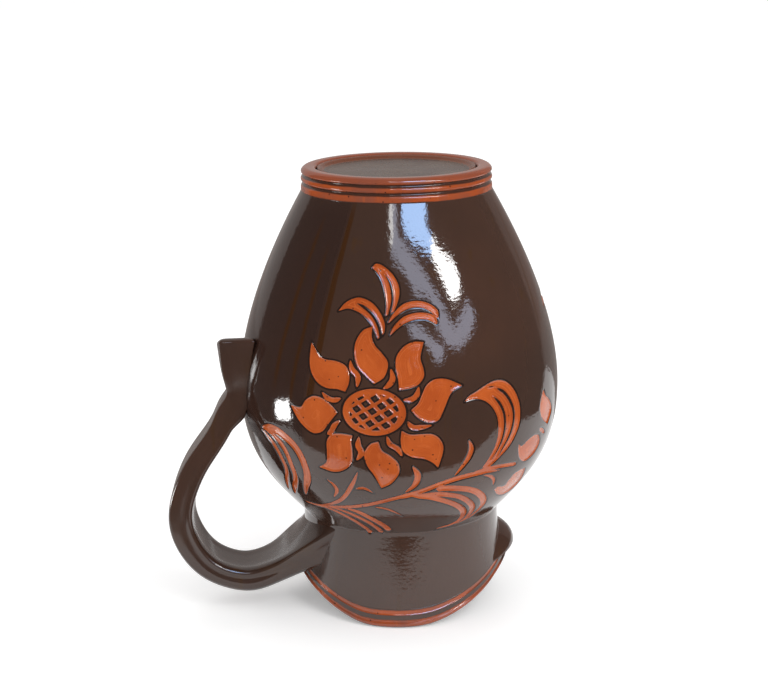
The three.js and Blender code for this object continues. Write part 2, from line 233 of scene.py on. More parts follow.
def add_object(name, data):
    item = bpy.data.objects.new(name, data)
    bpy.context.scene.collection.objects.link(item)
    return item


def make_piece(name, points, faces, attributes=None, normals=None):
    mesh = bpy.data.meshes.new(name)
    mesh.from_pydata((np.asarray(points) * MM).tolist(), [], faces)
    mesh.shade_smooth()
    for key, values in (attributes or {}).items():
        mesh.attributes.new(key, "FLOAT", "POINT").data.foreach_set("value", np.asarray(values, np.float32))
    if normals is not None:
        mesh.normals_split_custom_set_from_vertices(normals.tolist())
    print(name, "triangles", sum(len(p.vertices) - 2 for p in mesh.polygons))
    return add_object(name, mesh)


def shell(name, outer, inner, normals, wrap=True, attributes=None):
    """A closed shell between two grids of points, rows from the top down, columns towards the lip."""
    (rows, columns), (back_rows, _) = outer.shape[:2], inner.shape[:2]
    base = rows * columns
    front = quads(rows, columns, wrap)
    back = quads(back_rows, columns, wrap, base)[:, ::-1]
    edge = np.arange(columns if wrap else columns - 1)
    after = (edge + 1) % columns
    top = np.stack([edge, base + edge, base + after, after], axis=1)
    last, back_last = (rows - 1) * columns, base + (back_rows - 1) * columns
    bottom = np.stack([last + edge, last + after, back_last + after, back_last + edge], axis=1)
    faces = np.concatenate([front, back, top, bottom])[:, ::-1].tolist()
    if not wrap:
        for column, step in ((0, -1), (columns - 1, 1)):
            down = [r * columns + column for r in range(rows)]
            up = [base + r * columns + column for r in reversed(range(back_rows))]
            faces.append((down + up)[::step])
    points = np.concatenate([outer.reshape(-1, 3), inner.reshape(-1, 3)])
    back_normals = -normals[np.linspace(0, rows - 1, back_rows).round().astype(int)]
    all_normals = np.concatenate([normals.reshape(-1, 3), back_normals.reshape(-1, 3)])
    filled = {k: np.concatenate([v.reshape(-1), np.full(back_rows * columns, v.min())])
              for k, v in (attributes or {}).items()}
    return make_piece(name, points, faces, filled, all_normals)


def ring(name, profile, columns, attributes=None):
    """A ring turned from a closed profile of [radius, height] points, listed down the outside first."""
    grid = turn_line(profile, np.linspace(-np.pi, np.pi, columns, endpoint=False))
    closing = quads(2, columns, True)
    closing = np.where(closing < columns, closing + (len(profile) - 1) * columns, closing - columns)
    faces = np.concatenate([quads(len(profile), columns, True), closing])[:, ::-1].tolist()
    filled = {k: np.repeat(v, columns) for k, v in (attributes or {}).items()}
    return make_piece(name, grid.reshape(-1, 3), faces, filled)


# %% [markdown]
# ## The camera comes early
# The carving is traced from the photo, so the camera is needed before the belly is made. It looks a
# little down on the jug, from slightly round to the handle's side. The lens and the distance were
# fitted to the foot's two rings and the belly's outline.

# %% Place the camera
CAMERA_TURN = math.radians(-10)
CAMERA_DISTANCE = 0.800
CAMERA_HEIGHT = 0.344
CAMERA_PITCH = math.radians(14.4)
CAMERA_ROLL = math.radians(-0.74)
PICTURE_WIDTH = 768
PICTURE_HEIGHT = 673
FOCAL_PIXELS = 1600
AXIS_PIXEL = 398.5
SENSOR_WIDTH = 36

camera = add_object("camera", bpy.data.cameras.new("camera"))
camera.data.sensor_width = SENSOR_WIDTH
camera.data.lens = SENSOR_WIDTH * FOCAL_PIXELS / PICTURE_WIDTH
camera.data.shift_x = -(AXIS_PIXEL - PICTURE_WIDTH / 2) / PICTURE_WIDTH
camera_turn = (Matrix.Rotation(CAMERA_TURN, 4, "Z") @ Matrix.Rotation(math.pi / 2 - CAMERA_PITCH, 4, "X")
               @ Matrix.Rotation(CAMERA_ROLL, 4, "Z"))
camera.location = (AXIS_X * MM + CAMERA_DISTANCE * math.sin(CAMERA_TURN),
                   -CAMERA_DISTANCE * math.cos(CAMERA_TURN), CAMERA_HEIGHT)
camera.rotation_euler = camera_turn.to_euler()
bpy.context.scene.camera = camera
bpy.context.scene.view_settings.view_transform = "Standard"
print("camera at", [round(v, 3) for v in camera.location], "lens", camera.data.lens)


# %% [markdown]
# ## Tracing on to a round belly
# A drawing traced from a flat photo can't be used as it is, because the belly curves away from the
# camera. Each traced point is sent along the camera's ray until it meets the turned surface, and kept
# as a place on the unrolled belly. The points are read in enlarged views of the photo, and each view
# has the corner where it starts and its enlargement.

# %% Send traced points to the belly
UNROLL_RADIUS = 80.0
FLOWER_ANGLE = math.radians(-18.5)
FLOWER_HEIGHT = 122.5
# left, top and enlargement of each view
ENLARGED = {
    "flower": (285, 315, 8.2526),
    "spray": (325, 255, 12.544),
    "side": (440, 370, 11.2),
    "fan": (395, 475, 13.067),
    "sprig": (240, 390, 6.817),
}
# the stretch of each ray that is searched, in mm from the camera
RAY_START = 650
RAY_END = 830
RAY_PLACES = 1801


def belly_place(view, points):
    """Traced points as [x, z] in mm on the unrolled belly, from the flower's middle."""
    left, top, times = ENLARGED[view]
    pixels = np.array(points, float) / times + [left, top]
    u = (pixels[:, 0] - AXIS_PIXEL) / FOCAL_PIXELS
    v = -(pixels[:, 1] - PICTURE_HEIGHT / 2) / FOCAL_PIXELS
    rays = np.stack([u, v, -np.ones_like(u)], axis=1) @ np.array(camera_turn.to_3x3()).T
    start = np.array(camera.location) / MM - [AXIS_X, 0, 0]
    far = np.linspace(RAY_START, RAY_END, RAY_PLACES)
    path = start + rays[:, None, :] * far[None, :, None]
    outside = np.hypot(path[..., 0], path[..., 1]) - belly_radius_at(path[..., 2])
    first = np.where((outside < 0).any(axis=1), (outside < 0).argmax(axis=1), outside.argmin(axis=1))
    x, y, z = path[np.arange(len(rays)), first].T
    return np.stack([(np.arctan2(x, -y) - FLOWER_ANGLE) * UNROLL_RADIUS, z - FLOWER_HEIGHT], axis=1)


print("flower's middle:", belly_place("flower", [(732, 810)]).round(1))


# %% [markdown]
# ## Carving as a distance
# The potter scrapes shapes out of the dark slip. Here each shape is an outline on the unrolled belly:
# x runs round it in mm at the unrolling radius, and s runs along its line in mm from the foot.
# For every point of the belly's grid the script works out how deep it lies inside the nearest shape.
# That one number gives the hollow, the colour and the dark edge: pooled glaze with painted shade along each
# cut.

# %% Distances to strokes and outlines
NO_CARVING = -9.0
FAR_AWAY = 1e9
TINY = 1e-12
SWELL_POWER = 0.6


def curve_through(points, per_span=10):
    """A Catmull-Rom curve through a few points."""
    p = np.array(points, float)
    p = np.concatenate([[2 * p[0] - p[1]], p, [2 * p[-1] - p[-2]]])
    t = np.linspace(0, 1, per_span, endpoint=False)[:, None]
    spans = [0.5 * (2 * b + (c - a) * t + (2 * a - 5 * b + 4 * c - d) * t ** 2
                    + (3 * b - a - 3 * c + d) * t ** 3)
             for a, b, c, d in zip(p, p[1:], p[2:], p[3:])]
    return np.concatenate(spans + [p[-2:-1]])


def nearest_on_line(x, s, squeeze, line, closed):
    """Distance from each point to a line, and how far along the line, from 0 to 1, the nearest place is."""
    a = line if closed else line[:-1]
    b = np.roll(line, -1, axis=0) if closed else line[1:]
    best = np.full(x.shape, FAR_AWAY)
    along = np.zeros(x.shape)
    for i, (start, end) in enumerate(zip(a, b)):
        ux, us = (end[0] - start[0]) * squeeze, end[1] - start[1]
        px, ps = (x - start[0]) * squeeze, s - start[1]
        t = np.clip((px * ux + ps * us) / (ux * ux + us * us + TINY), 0, 1)
        d = np.hypot(px - t * ux, ps - t * us)
        nearer = d < best
        best = np.where(nearer, d, best)
        along = np.where(nearer, (i + t) / len(a), along)
    return best, along


def is_inside(x, s, outline):
    crossings = np.zeros(x.shape, int)
    for (x1, s1), (x2, s2) in zip(outline, np.roll(outline, -1, axis=0)):
        spans = (s1 > s) != (s2 > s)
        crossings += spans & (x < (x2 - x1) * (s - s1) / (s2 - s1 + TINY) + x1)
    return crossings % 2 == 1


def stroke_depth(x, s, squeeze, line, width, full_from, full_to):
    """Depth inside a stroke that swells from a point at each end to its full width between two shares."""
    d, along = nearest_on_line(x, s, squeeze, line, False)
    swell = np.clip(np.minimum(along / full_from, (1 - along) / (1 - full_to)), 0, 1) ** SWELL_POWER
    return width / 2 * swell - d


def outline_depth(x, s, squeeze, outline):
    d, _ = nearest_on_line(x, s, squeeze, outline, True)
    return np.where(is_inside(x, s, outline), d, -d)


# %% [markdown]
# ## The flower
# Eight petals stand round an oval disc. Each is drawn in two pulls of the tool, from its foot to its
# tip, so its outline has two sides that meet in corners. The disc is scraped to crossing lines that
# leave small dark squares, and thin sepals stand between the petals.

# %% Trace petals, sepals and disc
# foot, tip, and the points between them on either side
PETALS = {
    "top": ((735, 570), (722, 93), [(665, 505), (600, 430), (572, 330), (582, 225), (640, 130)],
            [(820, 510), (850, 400), (803, 320), (745, 255), (716, 180)]),
    "upper right": ((940, 622), (1145, 222), [(935, 540), (913, 430), (922, 340), (980, 262), (1060, 222)],
                    [(1030, 605), (1100, 575), (1146, 510), (1142, 440), (1118, 350)]),
    "right": ((1040, 785), (1465, 580), [(1100, 730), (1130, 660), (1170, 578), (1240, 530), (1340, 530)],
              [(1100, 850), (1190, 888), (1268, 868), (1315, 775), (1375, 640)]),
    "lower right": ((962, 955), (1265, 1262), [(1030, 987), (1120, 985), (1215, 985), (1280, 1025),
                                               (1308, 1110)],
                    [(955, 1050), (978, 1130), (1050, 1175), (1150, 1190), (1220, 1222)]),
    "bottom": ((770, 1046), (795, 1432), [(700, 1070), (653, 1150), (680, 1250), (735, 1325)],
               [(800, 1120), (870, 1165), (935, 1230), (940, 1310), (880, 1390)]),
    "lower left": ((557, 996), (280, 1255), [(460, 980), (380, 988), (343, 1045), (345, 1130), (340, 1215)],
                   [(546, 1050), (555, 1140), (548, 1225), (490, 1278), (400, 1295)]),
    "left": ((432, 805), (45, 742), [(380, 745), (310, 690), (235, 668), (170, 700), (125, 760)],
             [(395, 850), (345, 915), (300, 965), (220, 970), (120, 880)]),
    "upper left": ((497, 634), (217, 218), [(430, 612), (340, 602), (265, 555), (215, 470), (202, 370)],
                   [(527, 560), (528, 480), (495, 415), (420, 380), (300, 350)]),
}
# points, greatest width in mm, and the shares of the length where that width starts and ends
SEPALS = [
    ([(537, 372), (552, 445), (600, 510), (592, 600)], 2.7, 0.35, 0.75),
    ([(872, 440), (888, 525), (855, 580), (808, 610)], 2.7, 0.3, 0.6),
    ([(1105, 590), (1088, 660), (1040, 698), (972, 702)], 2.6, 0.3, 0.7),
    ([(1008, 878), (1055, 928), (1130, 927), (1217, 910)], 2.6, 0.25, 0.6),
    ([(840, 1000), (868, 1068), (930, 1108), (968, 1170)], 2.6, 0.3, 0.7),
    ([(610, 1005), (604, 1080), (628, 1140), (590, 1202)], 3.0, 0.3, 0.7),
    ([(456, 870), (408, 910), (378, 965), (348, 985)], 2.6, 0.35, 0.8),
    ([(303, 635), (345, 682), (400, 703), (462, 688)], 2.4, 0.3, 0.8),
]
DISC_HALF_WIDTH = 14.9
DISC_HALF_HEIGHT = 11.3
DISC_RING = 2.5
LATTICE_DOWN = np.array([3.1, -3.4])
LATTICE_ACROSS = np.array([4.3, 2.6])
LATTICE_START = np.array([-0.7, 0.6])
SQUARE_HALF = 1.55
SIDE_STEPS = 6


def closed_outline(view, *sides):
    """An outline from sides that meet in corners. Each side starts where the one before it ends."""
    whole = [belly_place(view, [sides[i - 1][-1], *side]) for i, side in enumerate(sides)]
    return ("outline", np.concatenate([curve_through(side, SIDE_STEPS)[:-1] for side in whole]))


def petal(view, foot, tip, one, other):
    return closed_outline(view, [*one, tip], [*other[::-1], foot])


def pull(view, points, width, full_from, full_to):
    """A single pull of the tool."""
    return ("stroke", curve_through(belly_place(view, points)), width, full_from, full_to)


def slit(view, points, width, full_from, full_to):
    """A line of slip that the tool leaves standing inside a leaf."""
    return ("slit", *pull(view, points, width, full_from, full_to)[1:])


flower_shapes = [petal("flower", *sides) for sides in PETALS.values()]
flower_shapes += [pull("flower", *sepal) for sepal in SEPALS] + [("disc",)]
print("flower:", len(flower_shapes), "shapes")

# %% [markdown]
# ## Sprays over the flower
# Three leaves spring from behind the top petal. The left and the middle one are scraped as one leaf
# with a line of slip left standing in it, and the right one is two separate pulls.

# %% Trace the sprays
spray_shapes = [
    closed_outline("spray", [(240, 612), (330, 555), (430, 533), (535, 565), (625, 632), (702, 740),
                             (748, 860), (745, 960), (722, 1008)], [(662, 1055)],
                   [(625, 955), (572, 855), (495, 768), (400, 705), (285, 670), (165, 702)]),
    slit("spray", [(398, 600), (500, 660), (592, 745), (655, 850), (690, 950), (705, 1060)], 1.5, 0.2, 0.95),
    closed_outline("spray", [(645, 106), (740, 143), (842, 235), (912, 350), (934, 470), (912, 590),
                             (868, 705)], [(755, 768)],
                   [(770, 640), (752, 480), (712, 330), (655, 222), (588, 158)]),
    slit("spray", [(742, 225), (805, 330), (838, 440), (845, 560), (828, 660), (800, 760)], 1.1, 0.3, 0.95),
    pull("spray", [(792, 855), (880, 745), (1000, 650), (1130, 615), (1262, 632), (1372, 700), (1418, 790)],
         3.0, 0.35, 0.85),
    pull("spray", [(812, 1008), (890, 905), (1000, 815), (1130, 768), (1260, 765), (1352, 797), (1408, 868)],
         3.1, 0.35, 0.85),
]
print("sprays:", len(spray_shapes), "shapes")

# %% [markdown]
# ## Stem and leaves
# A stem runs under the flower from the handle's side towards the lip. It carries a feathered leaf above
# and one below, a small fan at its start, and curls, and a spray stands on its left. The upper leaf is
# again one scraped shape with lines of slip left in it. All the others are separate pulls.

# %% Trace the stem and its leaves
stem_shapes = [
    pull("sprig", [(430, 752), (540, 788), (700, 800), (850, 788), (1000, 755), (1150, 715), (1260, 685)],
         2.4, 0.2, 0.95),
    pull("fan", [(0, 315), (200, 265), (400, 197), (600, 120), (800, 52), (1000, 0), (1200, -42),
                 (1380, -62)], 2.9, 0.1, 0.75),
    pull("side", [(350, 1172), (520, 1112), (700, 1075), (855, 1050)], 2.2, 0.1, 0.95),
    pull("sprig", [(803, 558), (768, 640), (710, 730), (640, 772), (545, 787)], 2.2, 0.3, 0.7),
    pull("sprig", [(588, 608), (640, 650), (660, 690), (640, 732)], 1.9, 0.4, 0.7),
    pull("sprig", [(783, 676), (845, 672), (912, 706)], 1.6, 0.3, 0.6),
    pull("sprig", [(1178, 522), (1212, 585), (1190, 650), (1125, 702)], 3.1, 0.3, 0.55),
    pull("sprig", [(915, 798), (1010, 817), (1112, 862)], 1.4, 0.2, 0.6),
    pull("side", [(325, 785), (352, 880), (320, 980), (245, 1090), (155, 1195)], 2.6, 0.25, 0.5),
    pull("side", [(480, 1180), (560, 1190), (602, 1225), (598, 1292)], 1.8, 0.4, 0.7),
]
upper_leaf = [
    closed_outline("side", [(330, 290), (400, 248), (500, 180), (600, 125), (700, 116), (782, 160),
                            (850, 255), (896, 400), (897, 560), (862, 690), (792, 830), (700, 945),
                            (600, 1045), (520, 1112)], [(478, 1092)],
                   [(552, 985), (612, 870), (648, 755), (657, 640), (645, 530), (598, 430), (525, 358),
                    (430, 325), (345, 335), (272, 357)]),
    slit("side", [(632, 200), (720, 250), (788, 345), (828, 470), (818, 620), (770, 760), (700, 885),
                  (648, 985)], 1.5, 0.1, 0.6),
    slit("side", [(600, 296), (668, 370), (716, 470), (732, 600), (712, 740), (660, 870), (575, 1015)],
         1.4, 0.15, 0.6),
    slit("side", [(525, 190), (610, 184)], 0.6, 0.4, 0.6),
]
lower_leaf = [
    pull("fan", [(540, 190), (640, 178), (780, 178), (940, 188), (1070, 225), (1150, 300), (1150, 380),
                 (1075, 470), (960, 560), (800, 632)], 3.7, 0.05, 0.6),
    pull("fan", [(300, 262), (560, 255), (700, 264), (850, 290), (960, 350), (1012, 425), (975, 510),
                 (890, 590), (770, 648)], 3.2, 0.1, 0.7),
    pull("fan", [(200, 275), (320, 282), (480, 300), (640, 340), (780, 388), (872, 445), (895, 510),
                 (845, 585), (740, 645), (620, 683), (525, 708)], 3.3, 0.1, 0.6),
]
start_fan = [
    pull("sprig", [(540, 785), (640, 822), (760, 882), (850, 938), (893, 976)], 2.7, 0.3, 0.96),
    pull("sprig", [(590, 790), (720, 832), (850, 890), (928, 938), (968, 974)], 2.6, 0.3, 0.96),
    pull("sprig", [(690, 800), (800, 832), (900, 882), (980, 926), (1018, 960)], 3.2, 0.3, 0.96),
]
left_spray = [
    pull("sprig", [(150, 250), (230, 268), (300, 315), (375, 390), (430, 490), (458, 600), (448, 715)],
         4.3, 0.1, 0.85),
    pull("sprig", [(150, 252), (230, 310), (300, 400), (348, 510), (378, 610), (375, 705)], 3.1, 0.3, 0.9),
    pull("sprig", [(145, 258), (220, 355), (280, 460), (318, 560), (335, 680)], 2.5, 0.3, 0.85),
]
stem_shapes += upper_leaf + lower_leaf + start_fan + left_spray
print("stem and leaves:", len(stem_shapes), "shapes")

# %% [markdown]
# ## Where the flowers stand
# The photo shows one flower in front and the edge of a second towards the lip. The side flower and the
# one behind repeat the pattern at a like spacing, and the handle's side stays plain, because a potter
# leaves room there for the hand.

# %% Lay the carving out on the unrolled belly
SIDE_ANGLE = math.radians(84)
SIDE_DROP = 12
BACK_ANGLE = math.radians(198.5)
SIDE_PETALS = ("top", "upper right", "right", "lower right", "bottom", "lower left")
SIDE_SEPALS = 6
# half the width and height in mm that are searched round the disc, and the margin round other shapes
DISC_WINDOW = np.array([16, 13])
SHAPE_MARGIN = 4
edge_leaves = [
    petal("side", (1160, 212), (1202, 607), [(1135, 330), (1124, 440), (1148, 545)],
          [(1185, 280), (1228, 330), (1250, 440)]),
    petal("side", (884, 828), (1108, 725), [(920, 850), (985, 788), (1060, 728)],
          [(880, 925), (900, 1000), (950, 1022), (1030, 960), (1092, 870), (1118, 790)]),
    petal("side", (608, 1345), (955, 1095), [(650, 1310), (720, 1300), (785, 1220), (850, 1150)],
          [(640, 1392), (705, 1395), (785, 1350), (870, 1270), (930, 1180)]),
    pull("side", [(1118, 655), (1150, 680), (1172, 705)], 2.2, 0.3, 0.7),
]


def carving_groups():
    """Angle, mirror, drop and shapes of every group."""
    side = [petal("flower", *PETALS[name]) for name in SIDE_PETALS]
    side += [pull("flower", *sepal) for sepal in SEPALS[:SIDE_SEPALS]] + [("disc",)] + spray_shapes
    front = flower_shapes + spray_shapes + stem_shapes
    return [(FLOWER_ANGLE, 1, 0, front + edge_leaves), (SIDE_ANGLE, 1, SIDE_DROP, side),
            (BACK_ANGLE, -1, 0, front)]


def run_at(z):
    """Distance along the pot's line from the foot, at a height."""
    upto = split_row + 1
    return np.interp(-z, -pot_line[:upto, 1], pot_run[:upto])


def disc_depth(x, z):
    ring_out = (1 - np.hypot(x / DISC_HALF_WIDTH, z / DISC_HALF_HEIGHT)) * DISC_HALF_HEIGHT
    to_cells = np.linalg.inv(np.stack([LATTICE_DOWN, LATTICE_ACROSS], axis=1))
    places = np.stack([x - LATTICE_START[0], z - LATTICE_START[1]])
    cells = np.tensordot(to_cells, places, 1)
    off = np.abs(cells - np.round(cells))
    pitch = [np.linalg.norm(step) for step in (LATTICE_DOWN, LATTICE_ACROSS)]
    square = SQUARE_HALF - np.maximum(off[0] * pitch[0], off[1] * pitch[1])
    dark = np.minimum(square, ring_out - DISC_RING)
    return np.minimum(ring_out, -dark)


def carve_depth(angle, z, radius):
    """Depth inside the carving, in mm, for a grid of angles and heights. Negative is outside."""
    run = run_at(z)
    squeeze_rows = radius / UNROLL_RADIUS
    depth = np.full((len(z), len(angle)), NO_CARVING)
    for centre, mirror, drop, shapes in carving_groups():
        x_all = mirror * wrapped(angle - centre) * UNROLL_RADIUS
        heights = z - (FLOWER_HEIGHT - drop)
        for kind, *rest in shapes:
            if kind == "disc":
                low, high = -DISC_WINDOW, DISC_WINDOW
            else:
                low, high = rest[0].min(0) - SHAPE_MARGIN, rest[0].max(0) + SHAPE_MARGIN
            columns = np.where((x_all > low[0]) & (x_all < high[0]))[0]
            rows = np.where((heights > low[1]) & (heights < high[1]))[0]
            if not len(columns) or not len(rows):
                continue
            x, s = np.meshgrid(x_all[columns], run[rows])
            squeeze = np.broadcast_to(squeeze_rows[rows][:, None], x.shape)
            window = np.ix_(rows, columns)
            if kind == "disc":
                found = disc_depth(x, np.broadcast_to(heights[rows][:, None], x.shape))
            else:
                line = np.stack([rest[0][:, 0], run_at(rest[0][:, 1] + FLOWER_HEIGHT - drop)], axis=1)
                depth_inside = outline_depth if kind == "outline" else stroke_depth
                found = depth_inside(x, s, squeeze, line, *rest[1:])
            if kind == "slit":
                depth[window] = np.minimum(depth[window], -found)
            else:
                depth[window] = np.maximum(depth[window], found)
    return depth


# %% [markdown]
# ## The belly's slip and glaze
# The carving needs a fine grid, under 0.6 mm apart, so the coat is made as gores that meet edge to
# edge, each within the limit on faces. Their normals come from the whole grid, so the joints between
# them don't show in the gloss. Under the handle nothing is carved, and the grid is coarse there.

# %% Build the belly in gores
CARVE_DEPTH = 0.65
CARVE_WALL = 0.9
CARVE_START = 0.3
COAT_THICKNESS = 1.0
ROW_STEP = 0.56
COLUMN_STEP = 0.0072
BACK_ROWS = 26
GORE_EDGES = [math.radians(a) for a in (-72, 37, 147, 253)]
GORE_NAMES = ["belly_coat_front", "belly_coat_lip_side", "belly_coat_back", "belly_coat_handle_side"]
PLAIN_STEP = math.radians(1.5)


def smooth_step(t):
    t = np.clip(t, 0, 1)
    return t * t * (3 - 2 * t)


def grid_normals(grid):
    """Outward normals of a grid that closes on itself round the axis."""
    round_ = np.roll(grid, -1, axis=1) - np.roll(grid, 1, axis=1)
    normal = np.cross(round_, np.gradient(grid, axis=0))
    normal /= np.linalg.norm(normal, axis=-1, keepdims=True)
    return normal * np.sign((normal * (grid - [AXIS_X, 0, 0]))[..., :2].sum(-1).mean())


belly_rows = np.concatenate([line_at(np.arange(0, pot_run[split_row], ROW_STEP), pot_line, pot_run),
                             pot_line[split_row:split_row + 1]])
belly_slices = [np.arange(a, b, COLUMN_STEP) for a, b in zip(GORE_EDGES, GORE_EDGES[1:])]
belly_slices.append(np.arange(GORE_EDGES[-1], GORE_EDGES[0] + 2 * math.pi, PLAIN_STEP))
belly_angles = np.concatenate(belly_slices)
depth = carve_depth(belly_angles, belly_rows[:, 1], belly_rows[:, 0])
hollow = CARVE_DEPTH * smooth_step(depth / CARVE_WALL + CARVE_START)
row_out = outward(belly_rows)
radius = belly_rows[:, :1] - row_out[:, :1] * hollow
height = belly_rows[:, 1:] - row_out[:, 1:] * hollow
belly_points = turn(radius, belly_angles[None, :], height)
belly_normals = grid_normals(belly_points)
back_line = belly_rows[np.linspace(0, len(belly_rows) - 1, BACK_ROWS).round().astype(int)]
back_points = turn_line(back_line - [COAT_THICKNESS, 0], belly_angles)
print("belly grid", belly_points.shape[:2], "carved share", round(float((depth > 0).mean()), 3))

belly_gores = []
first = 0
for name, part in zip(GORE_NAMES, belly_slices):
    columns = np.arange(first, first + len(part) + 1) % len(belly_angles)
    belly_gores.append(shell(name, belly_points[:, columns], back_points[:, columns],
                             belly_normals[:, columns], False, {"carve": depth[:, columns]}))
    first += len(part)
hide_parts("belly_slip_coat")

# %% [markdown]
# ## The neck and the rolled lip
# The lip is a soft roll that swells out of the neck. Both are one surface, so the roll is blended in
# with a smooth maximum of two radii: the neck's own and that of a bead bent round the mouth.

# %% Build the neck with its lip
LIP_REACH = 60.5
LIP_HEIGHT = 26
LIP_HALF_HEIGHT = 10
LIP_HALF_ANGLE = math.radians(36)
LIP_BLEND = 5.5
BEAD_START = RIM_RADIUS - 9
NECK_COLUMNS = 640
NECK_STEP = 0.5
NECK_BACK_EVERY = 6


def bead_radius(angle, z):
    """Radius of the rolled lip at an angle and a real height, and the bead's start beside the roll."""
    off = wrapped(angle - LIP_ANGLE)
    rise = LIP_HEIGHT - (1 - np.cos(off)) * LIP_RISE
    rest = 1 - (off / LIP_HALF_ANGLE) ** 2 - ((z - rise) / LIP_HALF_HEIGHT) ** 2
    swell = (LIP_REACH - BEAD_START) * np.sqrt(np.clip(rest, 0, 1))
    return np.where(rest > 0, BEAD_START + swell, BEAD_START)


neck_angles = np.linspace(-np.pi, np.pi, NECK_COLUMNS, endpoint=False)
neck_line = np.concatenate([line_at(np.arange(pot_run[split_row], pot_run[-1], NECK_STEP), pot_line, pot_run),
                            [[neck_radius(RIM_BAND_HEIGHT), RIM_BAND_HEIGHT]]])
plain_neck = turn_line(neck_line, neck_angles)
plain_radius = np.hypot(plain_neck[..., 0] - AXIS_X, plain_neck[..., 1])
full_radius = smooth_max(plain_radius, bead_radius(neck_angles[None, :], plain_neck[..., 2]), LIP_BLEND)
full_radius = np.maximum(full_radius, plain_radius)
neck_points = plain_neck.copy()
neck_points[..., 0] = AXIS_X + full_radius * np.sin(neck_angles)
neck_points[..., 1] = -full_radius * np.cos(neck_angles)
neck_back = turn_line(neck_line[::NECK_BACK_EVERY] - [COAT_THICKNESS, 0], neck_angles)
neck = shell("neck_and_lip_coat", neck_points, neck_back, grid_normals(neck_points))
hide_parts("neck_slip_coat", "pouring_lip")

# %% [markdown]
# ## The rim band
# Two orange lines are scraped round the rim, with a dark line left between them. The edge is worn flat
# where the jug stands on it. An attribute carries the height over the edge, so that the lines follow
# the wave of the mouth.

# %% Build the rim band
RIM_LINES = ((0.9, 4.3), (6.8, 9.3))
RIM_LINE_DEPTH = 0.35
RIM_LINE_SOFT = 0.5
RIM_ROWS = 40
RIM_COLUMNS = 480
EDGE_STEPS = 40
EDGE_SQUARENESS = 0.7
INSIDE_KEY = -2.0


def rim_profile():
    z = np.linspace(RIM_BAND_HEIGHT, WALL / 2, RIM_ROWS)
    lines = sum(smooth_step((z - low) / RIM_LINE_SOFT) * smooth_step((high - z) / RIM_LINE_SOFT)
                for low, high in RIM_LINES)
    outside = np.stack([neck_radius(z) - RIM_LINE_DEPTH * lines, z], axis=1)
    turn_in = np.linspace(0, math.pi, EDGE_STEPS + 1)[1:-1]
    middle = RIM_RADIUS - WALL / 2
    round_ = np.sign(np.cos(turn_in)) * np.abs(np.cos(turn_in)) ** EDGE_SQUARENESS
    edge = np.stack([middle + WALL / 2 * round_, WALL / 2 * (1 - np.sin(turn_in) ** EDGE_SQUARENESS)], axis=1)
    z_in = np.linspace(WALL / 2, RIM_BAND_HEIGHT, 8)
    inside = np.stack([neck_radius(z_in) - WALL, z_in], axis=1)
    return np.concatenate([outside, edge, inside])


rim_points = rim_profile()
out_side = np.arange(len(rim_points)) < RIM_ROWS + EDGE_STEPS // 2
rim_key = np.where(out_side, rim_points[:, 1], INSIDE_KEY)
rim = ring("rim_band_dressed", rim_points, RIM_COLUMNS, {"over_edge": rim_key})
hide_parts("rim_band")

# %% [markdown]
# ## A wheel made of Geometry Nodes
# The foot ring and the floor of its recess are turned round the axis, with the jug on the wheel upside
# down. Their shape follows one rule: a profile goes round in a circle. A small node tree does this. It
# makes a grid, reads each row's radius and height from the profile's points, bends the columns round
# the axis and welds the seam. Three helpers add its nodes, and the materials use them again.

# %% Build the turning tree
def feed(tree, node, values):
    """Joins sockets to a node's inputs and sets the other inputs to plain values."""
    for key, value in values.items():
        value = getattr(value, "socket", value)
        if isinstance(value, bpy.types.NodeSocket):
            tree.links.new(value, node.inputs[key])
        else:
            node.inputs[key].default_value = value


def add_node(tree, kind, settings=None, inputs=None):
    node = tree.nodes.new(kind)
    for key, value in (settings or {}).items():
        setattr(node, key, value)
    feed(tree, node, inputs or {})
    return node


def maths(tree, operation, *values):
    return add_node(tree, "ShaderNodeMath", {"operation": operation}, dict(enumerate(values))).outputs[0]


